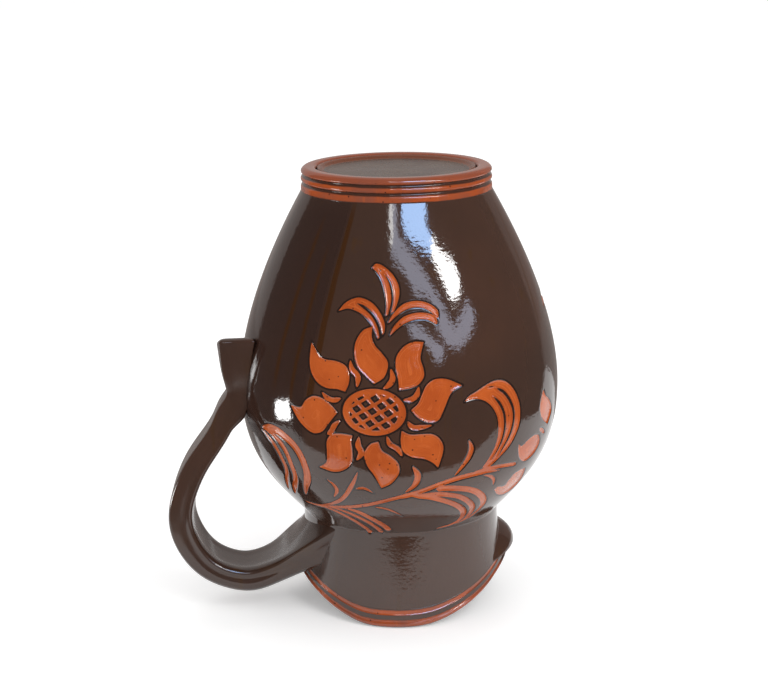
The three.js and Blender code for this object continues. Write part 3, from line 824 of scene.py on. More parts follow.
def build_turning_tree():
    tree = bpy.data.node_groups.new("turn_on_the_wheel", "GeometryNodeTree")

    def add(kind, settings=None, inputs=None, output=0):
        return add_node(tree, kind, settings, inputs).outputs[output]

    face = tree.interface
    face.new_socket("Profile", in_out="INPUT", socket_type="NodeSocketGeometry")
    sizes = {}
    for name, kind in (("Columns", "Int"), ("Axis", "Float"), ("Clay", "Material")):
        sizes[name] = face.new_socket(name, in_out="INPUT", socket_type="NodeSocket" + kind).identifier
    face.new_socket("Turned", in_out="OUTPUT", socket_type="NodeSocketGeometry")
    given = tree.nodes.new("NodeGroupInput").outputs
    rows = add("GeometryNodeAttributeDomainSize", None, {"Geometry": given["Profile"]}, "Point Count")
    around = maths(tree, "ADD", given["Columns"], 1)
    grid = add("GeometryNodeMeshGrid", None, {"Vertices X": around, "Vertices Y": rows})
    index = add("GeometryNodeInputIndex")
    row = maths(tree, "MODULO", index, rows)
    column = maths(tree, "FLOOR", maths(tree, "DIVIDE", maths(tree, "ADD", index, 0.5), rows))
    point = add("GeometryNodeSampleIndex", {"data_type": "FLOAT_VECTOR"},
                {"Geometry": given["Profile"], "Value": add("GeometryNodeInputPosition"), "Index": row})
    radius, _, height = add_node(tree, "ShaderNodeSeparateXYZ", None, {0: point}).outputs
    angle = maths(tree, "MULTIPLY", column, maths(tree, "DIVIDE", 2 * math.pi, given["Columns"]))
    across = maths(tree, "MULTIPLY", radius, maths(tree, "SINE", angle))
    back = maths(tree, "MULTIPLY", radius, maths(tree, "COSINE", angle))
    place = add("ShaderNodeCombineXYZ", None, {"X": maths(tree, "ADD", across, given["Axis"]),
                                               "Y": maths(tree, "MULTIPLY", back, -1.0), "Z": height})
    bent = add("GeometryNodeSetPosition", None, {"Geometry": grid, "Position": place})
    welded = add("GeometryNodeMergeByDistance", None, {"Geometry": bent, "Distance": 1e-6})
    smooth = add("GeometryNodeSetShadeSmooth", None, {"Geometry": welded})
    real = add("GeometryNodeRealizeInstances", None, {"Geometry": smooth})
    clay = add("GeometryNodeSetMaterial", None, {"Geometry": real, "Material": given["Clay"]})
    add_node(tree, "NodeGroupOutput", None, {0: clay})
    return tree, sizes


turning_tree, turning_inputs = build_turning_tree()


def turned(name, profile, columns, clay):
    """A plain mesh, turned from a closed profile of [radius, height] points."""
    line = np.concatenate([profile, profile[:1]]) * MM
    mesh = bpy.data.meshes.new(name + "_profile")
    mesh.from_pydata([(r, 0, z) for r, z in line.tolist()], [(i, i + 1) for i in range(len(line) - 1)], [])
    blank = add_object(name + "_profile", mesh)
    wheel = blank.modifiers.new("wheel", "NODES")
    wheel.node_group = turning_tree
    wheel[turning_inputs["Columns"]] = columns
    wheel[turning_inputs["Axis"]] = AXIS_X * MM
    wheel[turning_inputs["Clay"]] = clay
    result = bpy.data.meshes.new_from_object(blank.evaluated_get(bpy.context.evaluated_depsgraph_get()))
    bpy.data.objects.remove(blank)
    bpy.data.meshes.remove(mesh)
    points = np.array([v.co for v in result.vertices])
    result.calc_loop_triangles()
    corners = points[[t.vertices[:] for t in result.loop_triangles]]
    volume = np.einsum("ij,ij->i", corners[:, 0], np.cross(corners[:, 1], corners[:, 2])).sum() / 6
    if volume < 0:
        result.flip_normals()
    print(name, "triangles", len(result.loop_triangles), "volume", round(abs(volume) * 1e6, 1), "cm3")
    return add_object(name, result)


# %% [markdown]
# ## The foot
# The foot ring is turned with a sharp tool while the clay is leather hard: two grooves, and round
# ridges between them. The recess inside it is shallow. Its wall slopes, the glaze has pooled there, and
# the turning tool left a fine spiral on its floor.

# %% Turn the foot ring and its recess
RING_WIDTH = 8.4
RECESS_DEPTH = 2.4
GROOVES = (3.8, 7.8)
GROOVE_DEPTH = 1.2
GROOVE_HALF = 0.95
FOOT_EDGE = 2.9
FOOT_INNER_EDGE = 2.5
RECESS_FLOOR_RADIUS = 36.2
RECESS_WALL_RISE = 1.9
RECESS_THICKNESS = 0.7
RECESS_ROWS = 130
SPIRAL_PITCH = 2.1
SPIRAL_DEPTH = 0.04
SEAM = 0.1


def foot_profile():
    near_edge = np.linspace(0, FOOT_EDGE, 24)[:-1] ** 2 / FOOT_EDGE
    drop = np.concatenate([near_edge, np.linspace(FOOT_EDGE, HEIGHT - FOOT_JOINT, 70)])
    bow = np.sqrt(np.clip(FOOT_EDGE ** 2 - (FOOT_EDGE - drop) ** 2, 0, None))
    corner = np.where(drop < FOOT_EDGE, FOOT_EDGE - bow, 0)
    cut = sum(GROOVE_DEPTH * np.exp(-((drop - g) / GROOVE_HALF) ** 2) for g in GROOVES)
    outside = np.stack([FOOT_RADIUS - corner - cut, HEIGHT - drop], axis=1)
    inner = FOOT_RADIUS - RING_WIDTH
    wall = bezier((inner, FOOT_JOINT), (inner, HEIGHT - RECESS_DEPTH), (inner + 0.4, HEIGHT - 0.3),
                  (inner + FOOT_INNER_EDGE, HEIGHT), 40)
    return np.concatenate([outside, wall])


def recess_profile():
    edge = FOOT_RADIUS - RING_WIDTH - SEAM
    r = np.linspace(edge, 0, RECESS_ROWS)
    up_wall = np.clip((r - RECESS_FLOOR_RADIUS) / (edge - RECESS_FLOOR_RADIUS), 0, 1)
    spiral = SPIRAL_DEPTH * np.sin(r * 2 * np.pi / SPIRAL_PITCH) * np.clip(r / 4, 0, 1)
    level = HEIGHT - RECESS_DEPTH - SEAM
    under = level - RECESS_THICKNESS
    top = np.stack([r, level + RECESS_WALL_RISE * smooth_step(up_wall) + spiral], axis=1)
    return np.concatenate([top, [[0, under], [edge, under]]])


# %% [markdown]
# ## The inside
# The glaze inside is one smooth skin, seen only when the jug is turned over. It is turned from the
# outer line, moved in by the wall's thickness.

# %% Turn the inside glaze
LINING_INSET = 6.7
LINING_THICKNESS = 0.7
LINING_STEP = 3.0
LINING_FLOOR = FOOT_JOINT - 1.5
LINING_MIDDLE = 0.4


def lining(inset):
    line = evenly(pot_line, LINING_STEP)
    return line - outward(line) * inset


def lining_profile():
    outside, inside = lining(LINING_INSET), lining(LINING_INSET + LINING_THICKNESS)
    under = LINING_FLOOR - LINING_THICKNESS
    outside = outside[outside[:, 1] < LINING_FLOOR - 0.5]
    inside = inside[inside[:, 1] < LINING_FLOOR - 1.2]
    floor = [[LINING_MIDDLE, LINING_FLOOR], [outside[0, 0] - 1, LINING_FLOOR]]
    floor_under = [[inside[0, 0] - 1, under], [LINING_MIDDLE, under]]
    return np.concatenate([floor, outside, inside[::-1], floor_under])


inside = ring("inside_glaze_dressed", lining_profile(), 160)
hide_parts("inside_glaze")

# %% [markdown]
# ## The handle
# The strap is pulled from a lump of clay with wet fingers, which leaves flat sides, a bead along each
# inner edge and a round back. Its tail is pressed against the belly between thumb and fingers, so it has
# flat cheeks and a hollow foot, and its root is smeared out over the neck. The sweep below blends four
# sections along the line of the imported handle, and bends both ends round the pot.

# %% Draw the handle's sections
# half a section each, from the middle of the inner face to the middle of the back
INNER_BEAD = [(0, -0.92), (0.42, -0.94), (0.72, -1), (0.9, -0.93), (0.98, -0.7), (0.945, -0.43),
              (0.95, -0.22)]
STRAP_SECTION = INNER_BEAD + [(0.975, 0.1), (0.98, 0.5), (0.965, 0.84), (0.84, 0.985), (0.42, 1), (0, 1)]
CREST_SECTION = INNER_BEAD + [(0.975, 0), (0.96, 0.3), (0.88, 0.6), (0.66, 0.86), (0.34, 0.97), (0, 1)]
TAIL_SECTION = [(0, -1), (0.45, -1), (0.9, -1), (1.02, -0.95), (1, -0.7), (0.955, -0.42), (0.915, -0.17),
                (0.895, 0.08), (0.90, 0.5), (0.895, 0.9), (0.83, 0.99), (0.42, 1), (0, 1)]
ROOT_SECTION = [(0, -1), (0.6, -1), (1.05, -1), (1.2, -0.94), (1.18, -0.74), (1.1, -0.48), (1.02, -0.25),
                (0.94, 0.03), (0.86, 0.32), (0.76, 0.6), (0.58, 0.83), (0.3, 0.96), (0, 1)]
# heights over the table of the tail's end, the thumb's press, the place where the strap leaves the belly,
# the middle of the strap, its crest and its root
TAIL_HEIGHT = 137.4
PRESS_HEIGHT = 116.3
LEAVE_HEIGHT = 107.0
MIDDLE_HEIGHT = 50.0
CREST_HEIGHT = 15.0
ROOT_HEIGHT = 31
STRAP_HALF = 6.5
TWIST_ROOM = 0.8


def whole_section(half, per_span=5):
    """A closed smooth section from its half."""
    p = np.array(half, float)
    p = np.concatenate([p, p[-2:0:-1] * [-1, 1]])
    line = curve_through(np.concatenate([p[-2:], p, p[:3]]), per_span)
    return line[2 * per_span:(2 + len(p)) * per_span]


def mix(a, b, share):
    return a + share * (b - a)


def on_belly(z, width, thickness):
    return [belly_radius_at(z) + thickness / 2, z, width, thickness]


def handle_rows():
    """[distance from the axis, height, width, thickness] of the strap's middle line."""
    strap_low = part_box("handle_strap")[0]
    reach = AXIS_X - strap_low.x / MM - STRAP_HALF - TWIST_ROOM
    leave = belly_radius_at(LEAVE_HEIGHT)
    return np.array([
        on_belly(TAIL_HEIGHT, 42, 13.5),
        on_belly((TAIL_HEIGHT + PRESS_HEIGHT) / 2, 34.5, 10.5),
        on_belly(PRESS_HEIGHT, 28, 7.5),
        [leave + 7, LEAVE_HEIGHT, 28.5, 11],
        [mix(leave, reach, 0.37), mix(LEAVE_HEIGHT, MIDDLE_HEIGHT, 0.2), 30, 11],
        [mix(leave, reach, 0.8), mix(LEAVE_HEIGHT, MIDDLE_HEIGHT, 0.57), 30, 12],
        [reach, MIDDLE_HEIGHT, 29, 12.3],
        [mix(NECK_RADIUS, reach, 0.82), mix(CREST_HEIGHT, MIDDLE_HEIGHT, 0.28), 32, 13],
        [mix(NECK_RADIUS, reach, 0.5), CREST_HEIGHT, 36, 14],
        [mix(NECK_RADIUS, reach, 0.22), mix(CREST_HEIGHT, ROOT_HEIGHT, 0.27), 42, 15.2],
        [NECK_RADIUS + 4, mix(CREST_HEIGHT, ROOT_HEIGHT, 0.7), 50, 21],
        [NECK_RADIUS - 2.5, ROOT_HEIGHT + 1.5, 60, 31],
    ])


def between(start, end, low, high, at):
    """The place on a straight line that is at start for low and at end for high."""
    return (high - at) / (high - low) * start + (at - low) / (high - low) * end


def spread_curve(rows, steps):
    """A centripetal Catmull-Rom curve, which doesn't swing out where rows stand at uneven distances."""
    p = np.concatenate([[2 * rows[0] - rows[1]], rows, [2 * rows[-1] - rows[-2]]])
    knots = np.concatenate([[0], np.cumsum(np.sqrt(np.linalg.norm(np.diff(p[:, :2], axis=0), axis=1)))])
    points, shares = [], []
    for i in range(len(rows) - 1):
        k = knots[i:i + 4]
        t = np.linspace(k[1], k[2], steps, endpoint=i == len(rows) - 2)[:, None]
        a = [between(p[i + j], p[i + j + 1], k[j], k[j + 1], t) for j in range(3)]
        b = [between(a[j], a[j + 1], k[j], k[j + 2], t) for j in range(2)]
        points.append(between(b[0], b[1], k[1], k[2], t))
        shares.append(i + (t[:, 0] - k[1]) / (k[2] - k[1]))
    return np.concatenate(points), np.concatenate(shares)


# %% Sweep the handle
ROW_STEPS = 26
PATH_EASE = 5.0
CREST_ROW = 8
STRAP_TWIST = math.radians(7)
ROOT_TWIST = math.radians(-8)
TAIL_SLANT = 0.27
TAIL_LIFT = 2.2
SINK = 3.4
# scale of the tail's end and how far it stands over the last full section, in mm
TAIL_ROUNDING = [(0.6, 2.9), (0.72, 2.8), (0.82, 2.5), (0.91, 1.9), (0.975, 1.0)]


def fade(row, start, rows):
    """Rises smoothly from 0 to 1 over some rows of the handle, from a start."""
    return smooth_step((row - start) / rows)


def sweep_handle():
    path, share = spread_curve(handle_rows(), ROW_STEPS)
    path = eased(path, PATH_EASE, 1)
    tail, strap, crest, root = (whole_section(half) for half in
                                (TAIL_SECTION, STRAP_SECTION, CREST_SECTION, ROOT_SECTION))
    past_crest = share - CREST_ROW
    near_belly = 1 - fade(share, 1.9, 1.4)[:, None, None]
    near_neck = fade(past_crest, 0, 2.4)[:, None, None]
    near_crest = fade(past_crest, -2, 1.6)[:, None, None]
    section = strap + near_belly * (tail - strap) + near_crest * (crest - strap) + near_neck * (root - crest)
    outwards = -outward(path[:, :2] * [-1, 1])
    level_off = fade(past_crest, -1, 2)[:, None]
    outwards = outwards * (1 - level_off) + np.array([0, -1]) * level_off
    outwards /= np.hypot(outwards[:, 0], outwards[:, 1])[:, None]
    twist = mix(STRAP_TWIST, ROOT_TWIST, fade(past_crest, -2, 3.3))[:, None]
    sink = SINK * fade(-share, -3.8, 0.9)[:, None]
    across = section[..., 0] * path[:, 2:3] / 2
    through = section[..., 1] * path[:, 3:4] / 2 + np.minimum(0, section[..., 1]) * sink
    deep = through * np.cos(twist) - across * np.sin(twist)
    side = across * np.cos(twist) + through * np.sin(twist)
    pot_radius = np.interp(-path[:, 1:2], -pot_line[:, 1], pot_line[:, 0])
    bend = pot_radius - np.sqrt(pot_radius ** 2 - side ** 2)
    bend = bend * np.maximum(fade(-share, -3.4, 1.2), fade(past_crest, 1, 2))[:, None]
    slant = (TAIL_SLANT * side - TAIL_LIFT) * (1 - fade(share, 0, 2))[:, None]
    x = AXIS_X - path[:, :1] + outwards[:, :1] * deep + bend
    z = path[:, 1:2] + outwards[:, 1:] * deep - slant
    grid = np.stack([x, side, z], axis=-1)
    middle = grid[0].mean(axis=0)
    end = [middle + (grid[0] - middle) * scale + [0, 0, rise] for scale, rise in TAIL_ROUNDING]
    grid = np.concatenate([np.stack(end), grid])
    count, columns = grid.shape[:2]
    caps = [list(range(columns))[::-1], list(range((count - 1) * columns, count * columns))]
    print("handle from x", round(grid[..., 0].min(), 1), "to", round(grid[..., 0].max(), 1), "mm")
    return grid, quads(count, columns, True).tolist() + caps


handle_grid, handle_faces = sweep_handle()
handle = make_piece("handle", handle_grid.reshape(-1, 3), handle_faces)
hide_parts("handle_tail", "handle_strap", "handle_neck_root")

# %% [markdown]
# ## Shader maths as expressions
# A small class wraps a node's socket, so that a mask can be written as plain arithmetic. Numbers alone
# are worked out in Python, and colours go through Mix nodes.

# %% A wrapper for sockets
class Value:
    """A number that varies over a surface."""

    def __init__(self, shader, socket):
        self.shader = shader
        self.socket = socket

    def __add__(self, other):
        return self.shader.math("ADD", self, other)

    def __sub__(self, other):
        return self.shader.math("SUBTRACT", self, other)

    def __rsub__(self, other):
        return self.shader.math("SUBTRACT", other, self)

    def __mul__(self, other):
        return self.shader.math("MULTIPLY", self, other)

    def __truediv__(self, other):
        return self.shader.math("DIVIDE", self, other)

    __radd__ = __add__
    __rmul__ = __mul__

    def power(self, exponent):
        return self.shader.math("POWER", self, exponent)

    def at_least(self, other):
        return self.shader.math("MAXIMUM", self, other)

    def at_most(self, other):
        return self.shader.math("MINIMUM", self, other)

    def rise(self, low, high):
        """0 below low, 1 above high, and a smooth step between."""
        return self.shader.add("ShaderNodeMapRange", {"interpolation_type": "SMOOTHSTEP"},
                               {"Value": self, "From Min": low, "From Max": high})

    def band(self, low, high, soft):
        return self.rise(low - soft, low + soft) * (1 - self.rise(high - soft, high + soft))


class Shader:
    """A material that is built up by expressions."""

    def __init__(self, name):
        self.material = bpy.data.materials.new(name)
        self.material.use_nodes = True
        self.tree = self.material.node_tree
        self.place = self.tree.nodes.new("ShaderNodeTexCoord").outputs["Object"]

    def surface(self, values):
        """Sets or joins the surface's inputs by their names, and gives back the material."""
        feed(self.tree, self.tree.nodes["Principled BSDF"], values)
        return self.material

    def add(self, kind, settings=None, inputs=None, output=0):
        return Value(self, add_node(self.tree, kind, settings, inputs).outputs[output])

    def math(self, operation, *values):
        return Value(self, maths(self.tree, operation, *values))

    def attribute(self, name):
        return self.add("ShaderNodeAttribute", {"attribute_name": name}, output="Fac")

    def coordinates(self):
        """x, y and z in millimetres from the jug's axis."""
        split = add_node(self.tree, "ShaderNodeSeparateXYZ", None, {0: self.place})
        x, y, z = (Value(self, socket) for socket in split.outputs)
        return (x - AXIS_X * MM) / MM, y / MM, z / MM

    def azimuth(self):
        """Degrees round the axis, 0 at the front and 90 at the lip."""
        x, y, _ = self.coordinates()
        return self.math("ARCTAN2", x, 0 - y) * math.degrees(1)

    def off_axis(self):
        """Distance from the axis in millimetres."""
        x, y, _ = self.coordinates()
        return (x * x + y * y).power(0.5)

    def noise(self, per_metre, detail=3.0, stretch=(1, 1, 1), place=None):
        """Cloudy noise, about 0 to 1, with a number of cells per metre and a stretch along the axes."""
        moved = self.add("ShaderNodeMapping", None, {"Vector": place or self.place, "Scale": stretch})
        return self.add("ShaderNodeTexNoise", None, {"Vector": moved, "Scale": per_metre, "Detail": detail})

    def specks(self, per_metre, size):
        cells = self.add("ShaderNodeTexVoronoi", None, {"Vector": self.place, "Scale": per_metre})
        return 1 - cells.rise(size * 0.6, size)

    def mix(self, share, a, b):
        """Colour a where share is 0 and b where it is 1."""
        a, b = (colour if isinstance(colour, Value) else (*colour, 1) for colour in (a, b))
        return self.add("ShaderNodeMix", {"data_type": "RGBA"}, {0: share, 6: a, 7: b}, 2)

    def finish(self, colour, roughness, bump):
        """The material with its gloss glaze. The bump is a height in mm."""
        bumped = self.add("ShaderNodeBump", None, {"Strength": 1.0, "Distance": MM, "Height": bump}, "Normal")
        return self.surface({"Base Color": colour, "Roughness": roughness, "IOR": GLAZE_IOR,
                             "Normal": bumped})


# %% [markdown]
# ## The colours
# The slip is a dark chocolate that thins to brown where it ran, in long streaks down the belly, with a
# painted shade on the handle side. The carved clay is a warm orange, lighter where the tool scraped, and a
# dark line of pooled glaze and painted shade runs along the edge of each cut. A lead-rich glaze bends light
# more than window glass does, so it mirrors more.

# %% Colours
GLAZE_IOR = 1.6
CHOCOLATE = (0.046, 0.0235, 0.0165)
CHOCOLATE_WARM = (0.062, 0.029, 0.019)
RUN_BROWN = (0.042, 0.013, 0.001)
THIN_BROWN = (0.060, 0.026, 0.007)
# dark specks in clay and glaze, and also the painted shade along the cut edges
DARK_SPECK_AND_SHADE = (0.016, 0.008, 0.006)
ORANGE = (0.50, 0.098, 0.018)
ORANGE_LIGHT = (0.60, 0.140, 0.032)
ORANGE_DEEP = (0.40, 0.070, 0.012)
BRICK = (0.25, 0.066, 0.034)
GREY_BROWN = (0.096, 0.062, 0.044)
WALL_BROWN = (0.17, 0.048, 0.020)
# azimuth at the top in degrees, height of the top and the end in mm, half width in degrees
SLIP_RUNS = [(-34.6, 214, 118, 1.25), (-44.5, 192, 122, 0.7), (-52.0, 205, 130, 0.9), (61.0, 214, 150, 0.8)]
RUN_LEAN = 0.08
RUN_SOFT_SIDE = 0.35
RUN_SOFT_END = 9
PAINTED_SHADE_BROWN = (0.024, 0.011, 0.0085)
# start, end and softness of a painted shade, a darker patch on the upper belly on the handle side,
# in degrees from the first run and in mm over the table
PAINTED_SHADE_SIDE = (-50, -1.4, 2.0)
PAINTED_SHADE_HEIGHT = (74, 220, 14)

# %% Patterns of slip and clay
def slip_runs_and_painted_shade(s):
    """Where slip ran down the belly in lines that lean a little, and a painted shade left of the first."""
    z = s.coordinates()[2]
    azimuth = s.azimuth()
    wander = (s.noise(40) - 0.5) * 1.6

    def off_run(start, top):
        return azimuth - start + (top - z) * RUN_LEAN + wander

    # a darker patch painted as shade on the upper belly, on the handle side
    painted_shade = off_run(*SLIP_RUNS[0][:2]).band(*PAINTED_SHADE_SIDE) * z.band(*PAINTED_SHADE_HEIGHT)
    total = None
    for start, top, end, half in SLIP_RUNS:
        line = off_run(start, top).band(-half, half, RUN_SOFT_SIDE) * z.band(end, top, RUN_SOFT_END)
        total = line if total is None else total.at_least(line)
    return total, painted_shade


def slip_colour(s):
    colour = s.mix(s.noise(14, 4).rise(0.35, 0.7), CHOCOLATE, CHOCOLATE_WARM)
    streaks = s.noise(170, 3, (1, 1, 0.03))
    return s.mix(streaks.rise(0.6, 0.74) * 0.45, colour, THIN_BROWN)


def clay_colour(s, deep=ORANGE_DEEP, middle=ORANGE, light=ORANGE_LIGHT):
    tone = s.mix(s.noise(60, 4).rise(0.3, 0.7), deep, middle)
    scraped = s.noise(420, 3, (1, 1, 0.25)).rise(0.55, 0.75)
    tone = s.mix(scraped * 0.35, tone, light)
    return s.mix(s.specks(250, 0.13) * 0.85, tone, DARK_SPECK_AND_SHADE)


def throwing_lines(s):
    """Fine rings that the potter's fingers leave, as a height in mm."""
    return s.noise(760, 2, (0.07, 0.07, 1)) * 0.012 + s.noise(45, 2) * 0.16 + s.noise(560, 2) * 0.045


# %% [markdown]
# ## The carved glaze
# The mask turns from slip to clay where the distance is nought. Just outside it lies a dark line that
# stands for pooled glaze and painted shade at the cut. Inside a petal the tool's streaks run along the
# outline, so they are drawn over the same distance, with a little noise.

# %% Mix the carved glaze
def belly_material():
    s = Shader("carved_slip_glaze")
    depth = s.attribute("carve")
    carved = depth.rise(-0.10, 0.10)
    runs, painted_shade = slip_runs_and_painted_shade(s)
    # slip runs over a painted shade on the handle side
    slip = s.mix(runs * 0.9, s.mix(painted_shade * 0.75, slip_colour(s), PAINTED_SHADE_BROWN), RUN_BROWN)
    contour = s.add("ShaderNodeCombineXYZ", None, {"X": depth * 1.5, "Y": s.noise(26) * 3.0})
    streak = s.noise(1.0, 3, (1, 1, 1), contour)
    clay = s.mix(streak.rise(0.52, 0.68) * 0.55, clay_colour(s), ORANGE_LIGHT)
    colour = s.mix(carved, slip, clay)
    # a dark line just outside each cut: pooled glaze with painted shade
    colour = s.mix(depth.band(-0.85, 0.02, 0.16) * 0.9, colour, DARK_SPECK_AND_SHADE)
    ripple = throwing_lines(s) + carved * streak * 0.12
    return s.finish(colour, 0.05 + 0.04 * s.noise(40), ripple)


# %% [markdown]
# ## The other glazes
# Rim and foot show clay with lines of slip, the neck and the handle are slip all over, and the glaze in
# the recess is a dull grey brown. The clay under the coats gets a plain clay colour.

# %% Mix the other glazes
RIM_PLAIN = (64, 116, 4)
# in mm under the foot's face: slip in the two grooves, slip over the joint, and the worn edge of the face
GROOVE_SLIP = ((3.0, 4.7), (7.0, 8.7))
JOINT_SLIP = (11.2, 11.8)
WORN_EDGE = (1.6, 3.4)
# in mm from the axis
FOOT_INSIDE = (39.9, 41.0)
RECESS_BROWN = (0.070, 0.042, 0.032)


def rim_material():
    s = Shader("rim_lines")
    over = s.attribute("over_edge") + (s.noise(160) - 0.5) * 0.7
    lines = over.band(*RIM_LINES[0], 0.25) + over.band(*RIM_LINES[1], 0.25)
    plain = s.azimuth().band(*RIM_PLAIN)
    clay = clay_colour(s, BRICK, ORANGE_DEEP, ORANGE)
    colour = s.mix((lines * (1 - plain)).at_most(1.0), slip_colour(s), clay)
    return s.finish(colour, 0.09 + 0.08 * s.noise(60), s.noise(300) * 0.05)


def foot_material():
    s = Shader("turned_clay")
    under = HEIGHT - s.coordinates()[2] + (s.noise(90) - 0.5) * 0.7
    dark = under.band(*GROOVE_SLIP[0], 0.3) + under.band(*GROOVE_SLIP[1], 0.3) + under.rise(*JOINT_SLIP)
    tone = clay_colour(s, BRICK, ORANGE_DEEP, ORANGE)
    face = s.mix((1 - under.rise(*WORN_EDGE)) * 0.85, tone, BRICK)
    inner = 1 - s.off_axis().rise(*FOOT_INSIDE)
    face = s.mix(inner, face, WALL_BROWN)
    colour = s.mix((dark * 0.95).at_most(1.0) * (1 - inner), face, CHOCOLATE)
    return s.finish(colour, 0.05 + 0.06 * s.noise(80), s.noise(260) * 0.05)


def plain_slip_material():
    s = Shader("slip_glaze")
    smear = s.noise(45, 3, (1, 1, 5)).rise(0.66, 0.74)
    colour = s.mix(smear * 0.7, slip_colour(s), THIN_BROWN)
    return s.finish(colour, 0.06 + 0.05 * s.noise(50), throwing_lines(s) * 1.5)


def handle_material():
    s = Shader("handle_glaze")
    thin = s.noise(60, 3, (0.5, 1, 0.5)).rise(0.5, 0.8)
    colour = s.mix(thin * 0.6, slip_colour(s), THIN_BROWN)
    return s.finish(colour, 0.13 + 0.08 * s.noise(60), s.noise(50, 2) * 0.25 + s.noise(420, 2) * 0.012)


def recess_material():
    s = Shader("recess_glaze")
    colour = s.mix(s.noise(45, 4).rise(0.35, 0.65), GREY_BROWN, RECESS_BROWN)
    colour = s.mix(s.specks(340, 0.2) * 0.6, colour, DARK_SPECK_AND_SHADE)
    up_wall = s.off_axis().rise(RECESS_FLOOR_RADIUS, RECESS_FLOOR_RADIUS + 0.9)
    colour = s.mix(up_wall * 0.9, colour, WALL_BROWN)
    return s.finish(colour, 0.22 + 0.1 * s.noise(70), s.noise(220) * 0.10)


def clay_body_material():
    s = Shader("clay_body")
    return s.finish(clay_colour(s), 0.35 + 0.15 * s.noise(90), s.noise(400) * 0.05)


# %% Put the finishes on
carved_glaze = belly_material()
slip_glaze = plain_slip_material()
dull_glaze = recess_material()
foot = turned("foot_ring_dressed", foot_profile(), 420, foot_material())
recess = turned("recess_floor", recess_profile(), 300, dull_glaze)
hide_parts("foot_ring")
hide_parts("recess_glaze")
finishes = {rim: rim_material(), inside: dull_glaze, neck: slip_glaze, handle: handle_material(),
            **{gore: carved_glaze for gore in belly_gores}}
for piece, material in finishes.items():
    piece.data.materials.append(material)
clay_body = clay_body_material()
for name in ("base_floor", "belly_wall_foot_half", "belly_wall_neck_half", "neck_collar"):
    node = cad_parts[name]
    node.data.materials.clear()
    node.data.materials.append(clay_body)
print("materials:", sorted(m.name for m in bpy.data.materials))

# %% Let the pieces ride on one body
for piece in [*finishes, foot, recess]:
    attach(piece, "root")

# %% [markdown]
# ## Floor and world
# A plain pale floor runs to a white horizon. The world is white to the camera and to gloss, and a little
# darker for the light that falls on the jug, so that the lamps keep their part.

# %% Build floor and world
FLOOR_HALF = 12
WORLD_LEVEL = 0.80
FLOOR_LIFT = 0.26
FLOOR_GREY = 0.93


def sheet_of(name, corners, faces=None):
    mesh = bpy.data.meshes.new(name)
    mesh.from_pydata([tuple(c) for c in corners], [], faces or [list(range(len(corners)))])
    sheet = add_object(name, mesh)
    return sheet


def looked_at(tree):
    """1 where the camera, gloss or a clear body looks, and 0 for the light that falls on the jug."""
    path = tree.nodes.new("ShaderNodeLightPath").outputs
    seen = maths(tree, "MAXIMUM", path["Is Camera Ray"], path["Is Glossy Ray"])
    return maths(tree, "MAXIMUM", seen, path["Is Transmission Ray"])


around = ((-1, -1), (1, -1), (1, 1), (-1, 1))
floor = sheet_of("floor", [(x * FLOOR_HALF, y * FLOOR_HALF, 0) for x, y in around])
pale = Shader("pale_floor")
lift = pale.mix(looked_at(pale.tree), (0, 0, 0), (FLOOR_LIFT,) * 3)
floor.data.materials.append(pale.surface({
    "Base Color": (FLOOR_GREY, FLOOR_GREY, FLOOR_GREY, 1), "Roughness": 0.9, "Specular IOR Level": 0.0,
    "Emission Color": lift, "Emission Strength": 1.0}))

world = bpy.data.worlds.new("studio")
world.use_nodes = True
bpy.context.scene.world = world
sky = world.node_tree
level = maths(sky, "ADD", maths(sky, "MULTIPLY", looked_at(sky), 1 - WORLD_LEVEL), WORLD_LEVEL)
feed(sky, sky.nodes["Background"], {"Strength": level, "Color": (1, 1, 1, 1)})
print("world level", WORLD_LEVEL)

# %% [markdown]
# ## What the glaze mirrors
# A gloss pot is a round mirror, so it shows its surroundings as much as its own colour. The photo was
# taken in a room: dark walls in front, a window, and a pale ground close to the jug. Photographers
# build this with black flags and white cards. Here they are sheets that only gloss can see, so they
# neither light the jug nor stand in the camera's way.

# %% Hang flags and cards
ROOM = (1.0, 0.85, 0.78)
WINDOW_GREY = (0.73, 0.80, 1.0)
VAULT_TOP = 88
VAULT_DISTANCE = 1.5
VAULT_COLUMNS = 64
VAULT_ROWS = 24
GROUND_COLUMNS = 90
GROUND_END = 3000.0
GROUND_LIFT = 0.0006


def toward(azimuth, elevation, distance):
    """A point in metres, seen from the middle of the belly. Azimuth 0 is the front."""
    a, e = math.radians(azimuth), math.radians(elevation)
    return (AXIS_X * MM + distance * math.sin(a) * math.cos(e), -distance * math.cos(a) * math.cos(e),
            BELLY_HEIGHT * MM + distance * math.sin(e))


def mirror_only(sheet, colour, strength):
    """Lets only gloss see a sheet, which glows evenly."""
    sheet.data.materials.append(Shader(sheet.name).surface({
        "Base Color": (0, 0, 0, 1), "Specular IOR Level": 0,
        "Emission Color": (*colour, 1), "Emission Strength": strength}))
    sheet.visible_camera = sheet.visible_diffuse = sheet.visible_shadow = sheet.visible_transmission = False


def card(name, corners, distance, strength, colour=(1, 1, 1)):
    mirror_only(sheet_of(name, [toward(a, e, distance) for a, e in corners]), colour, strength)


def vault(name, start, end, low, colour, strength):
    """Part of a dome between two azimuths, from a low elevation nearly to its top."""
    azimuths, elevations = np.linspace(start, end, VAULT_COLUMNS), np.linspace(low, VAULT_TOP, VAULT_ROWS)
    corners = [toward(a, e, VAULT_DISTANCE) for e in elevations for a in azimuths]
    mirror_only(sheet_of(name, corners, quads(VAULT_ROWS, VAULT_COLUMNS, False).tolist()), colour, strength)


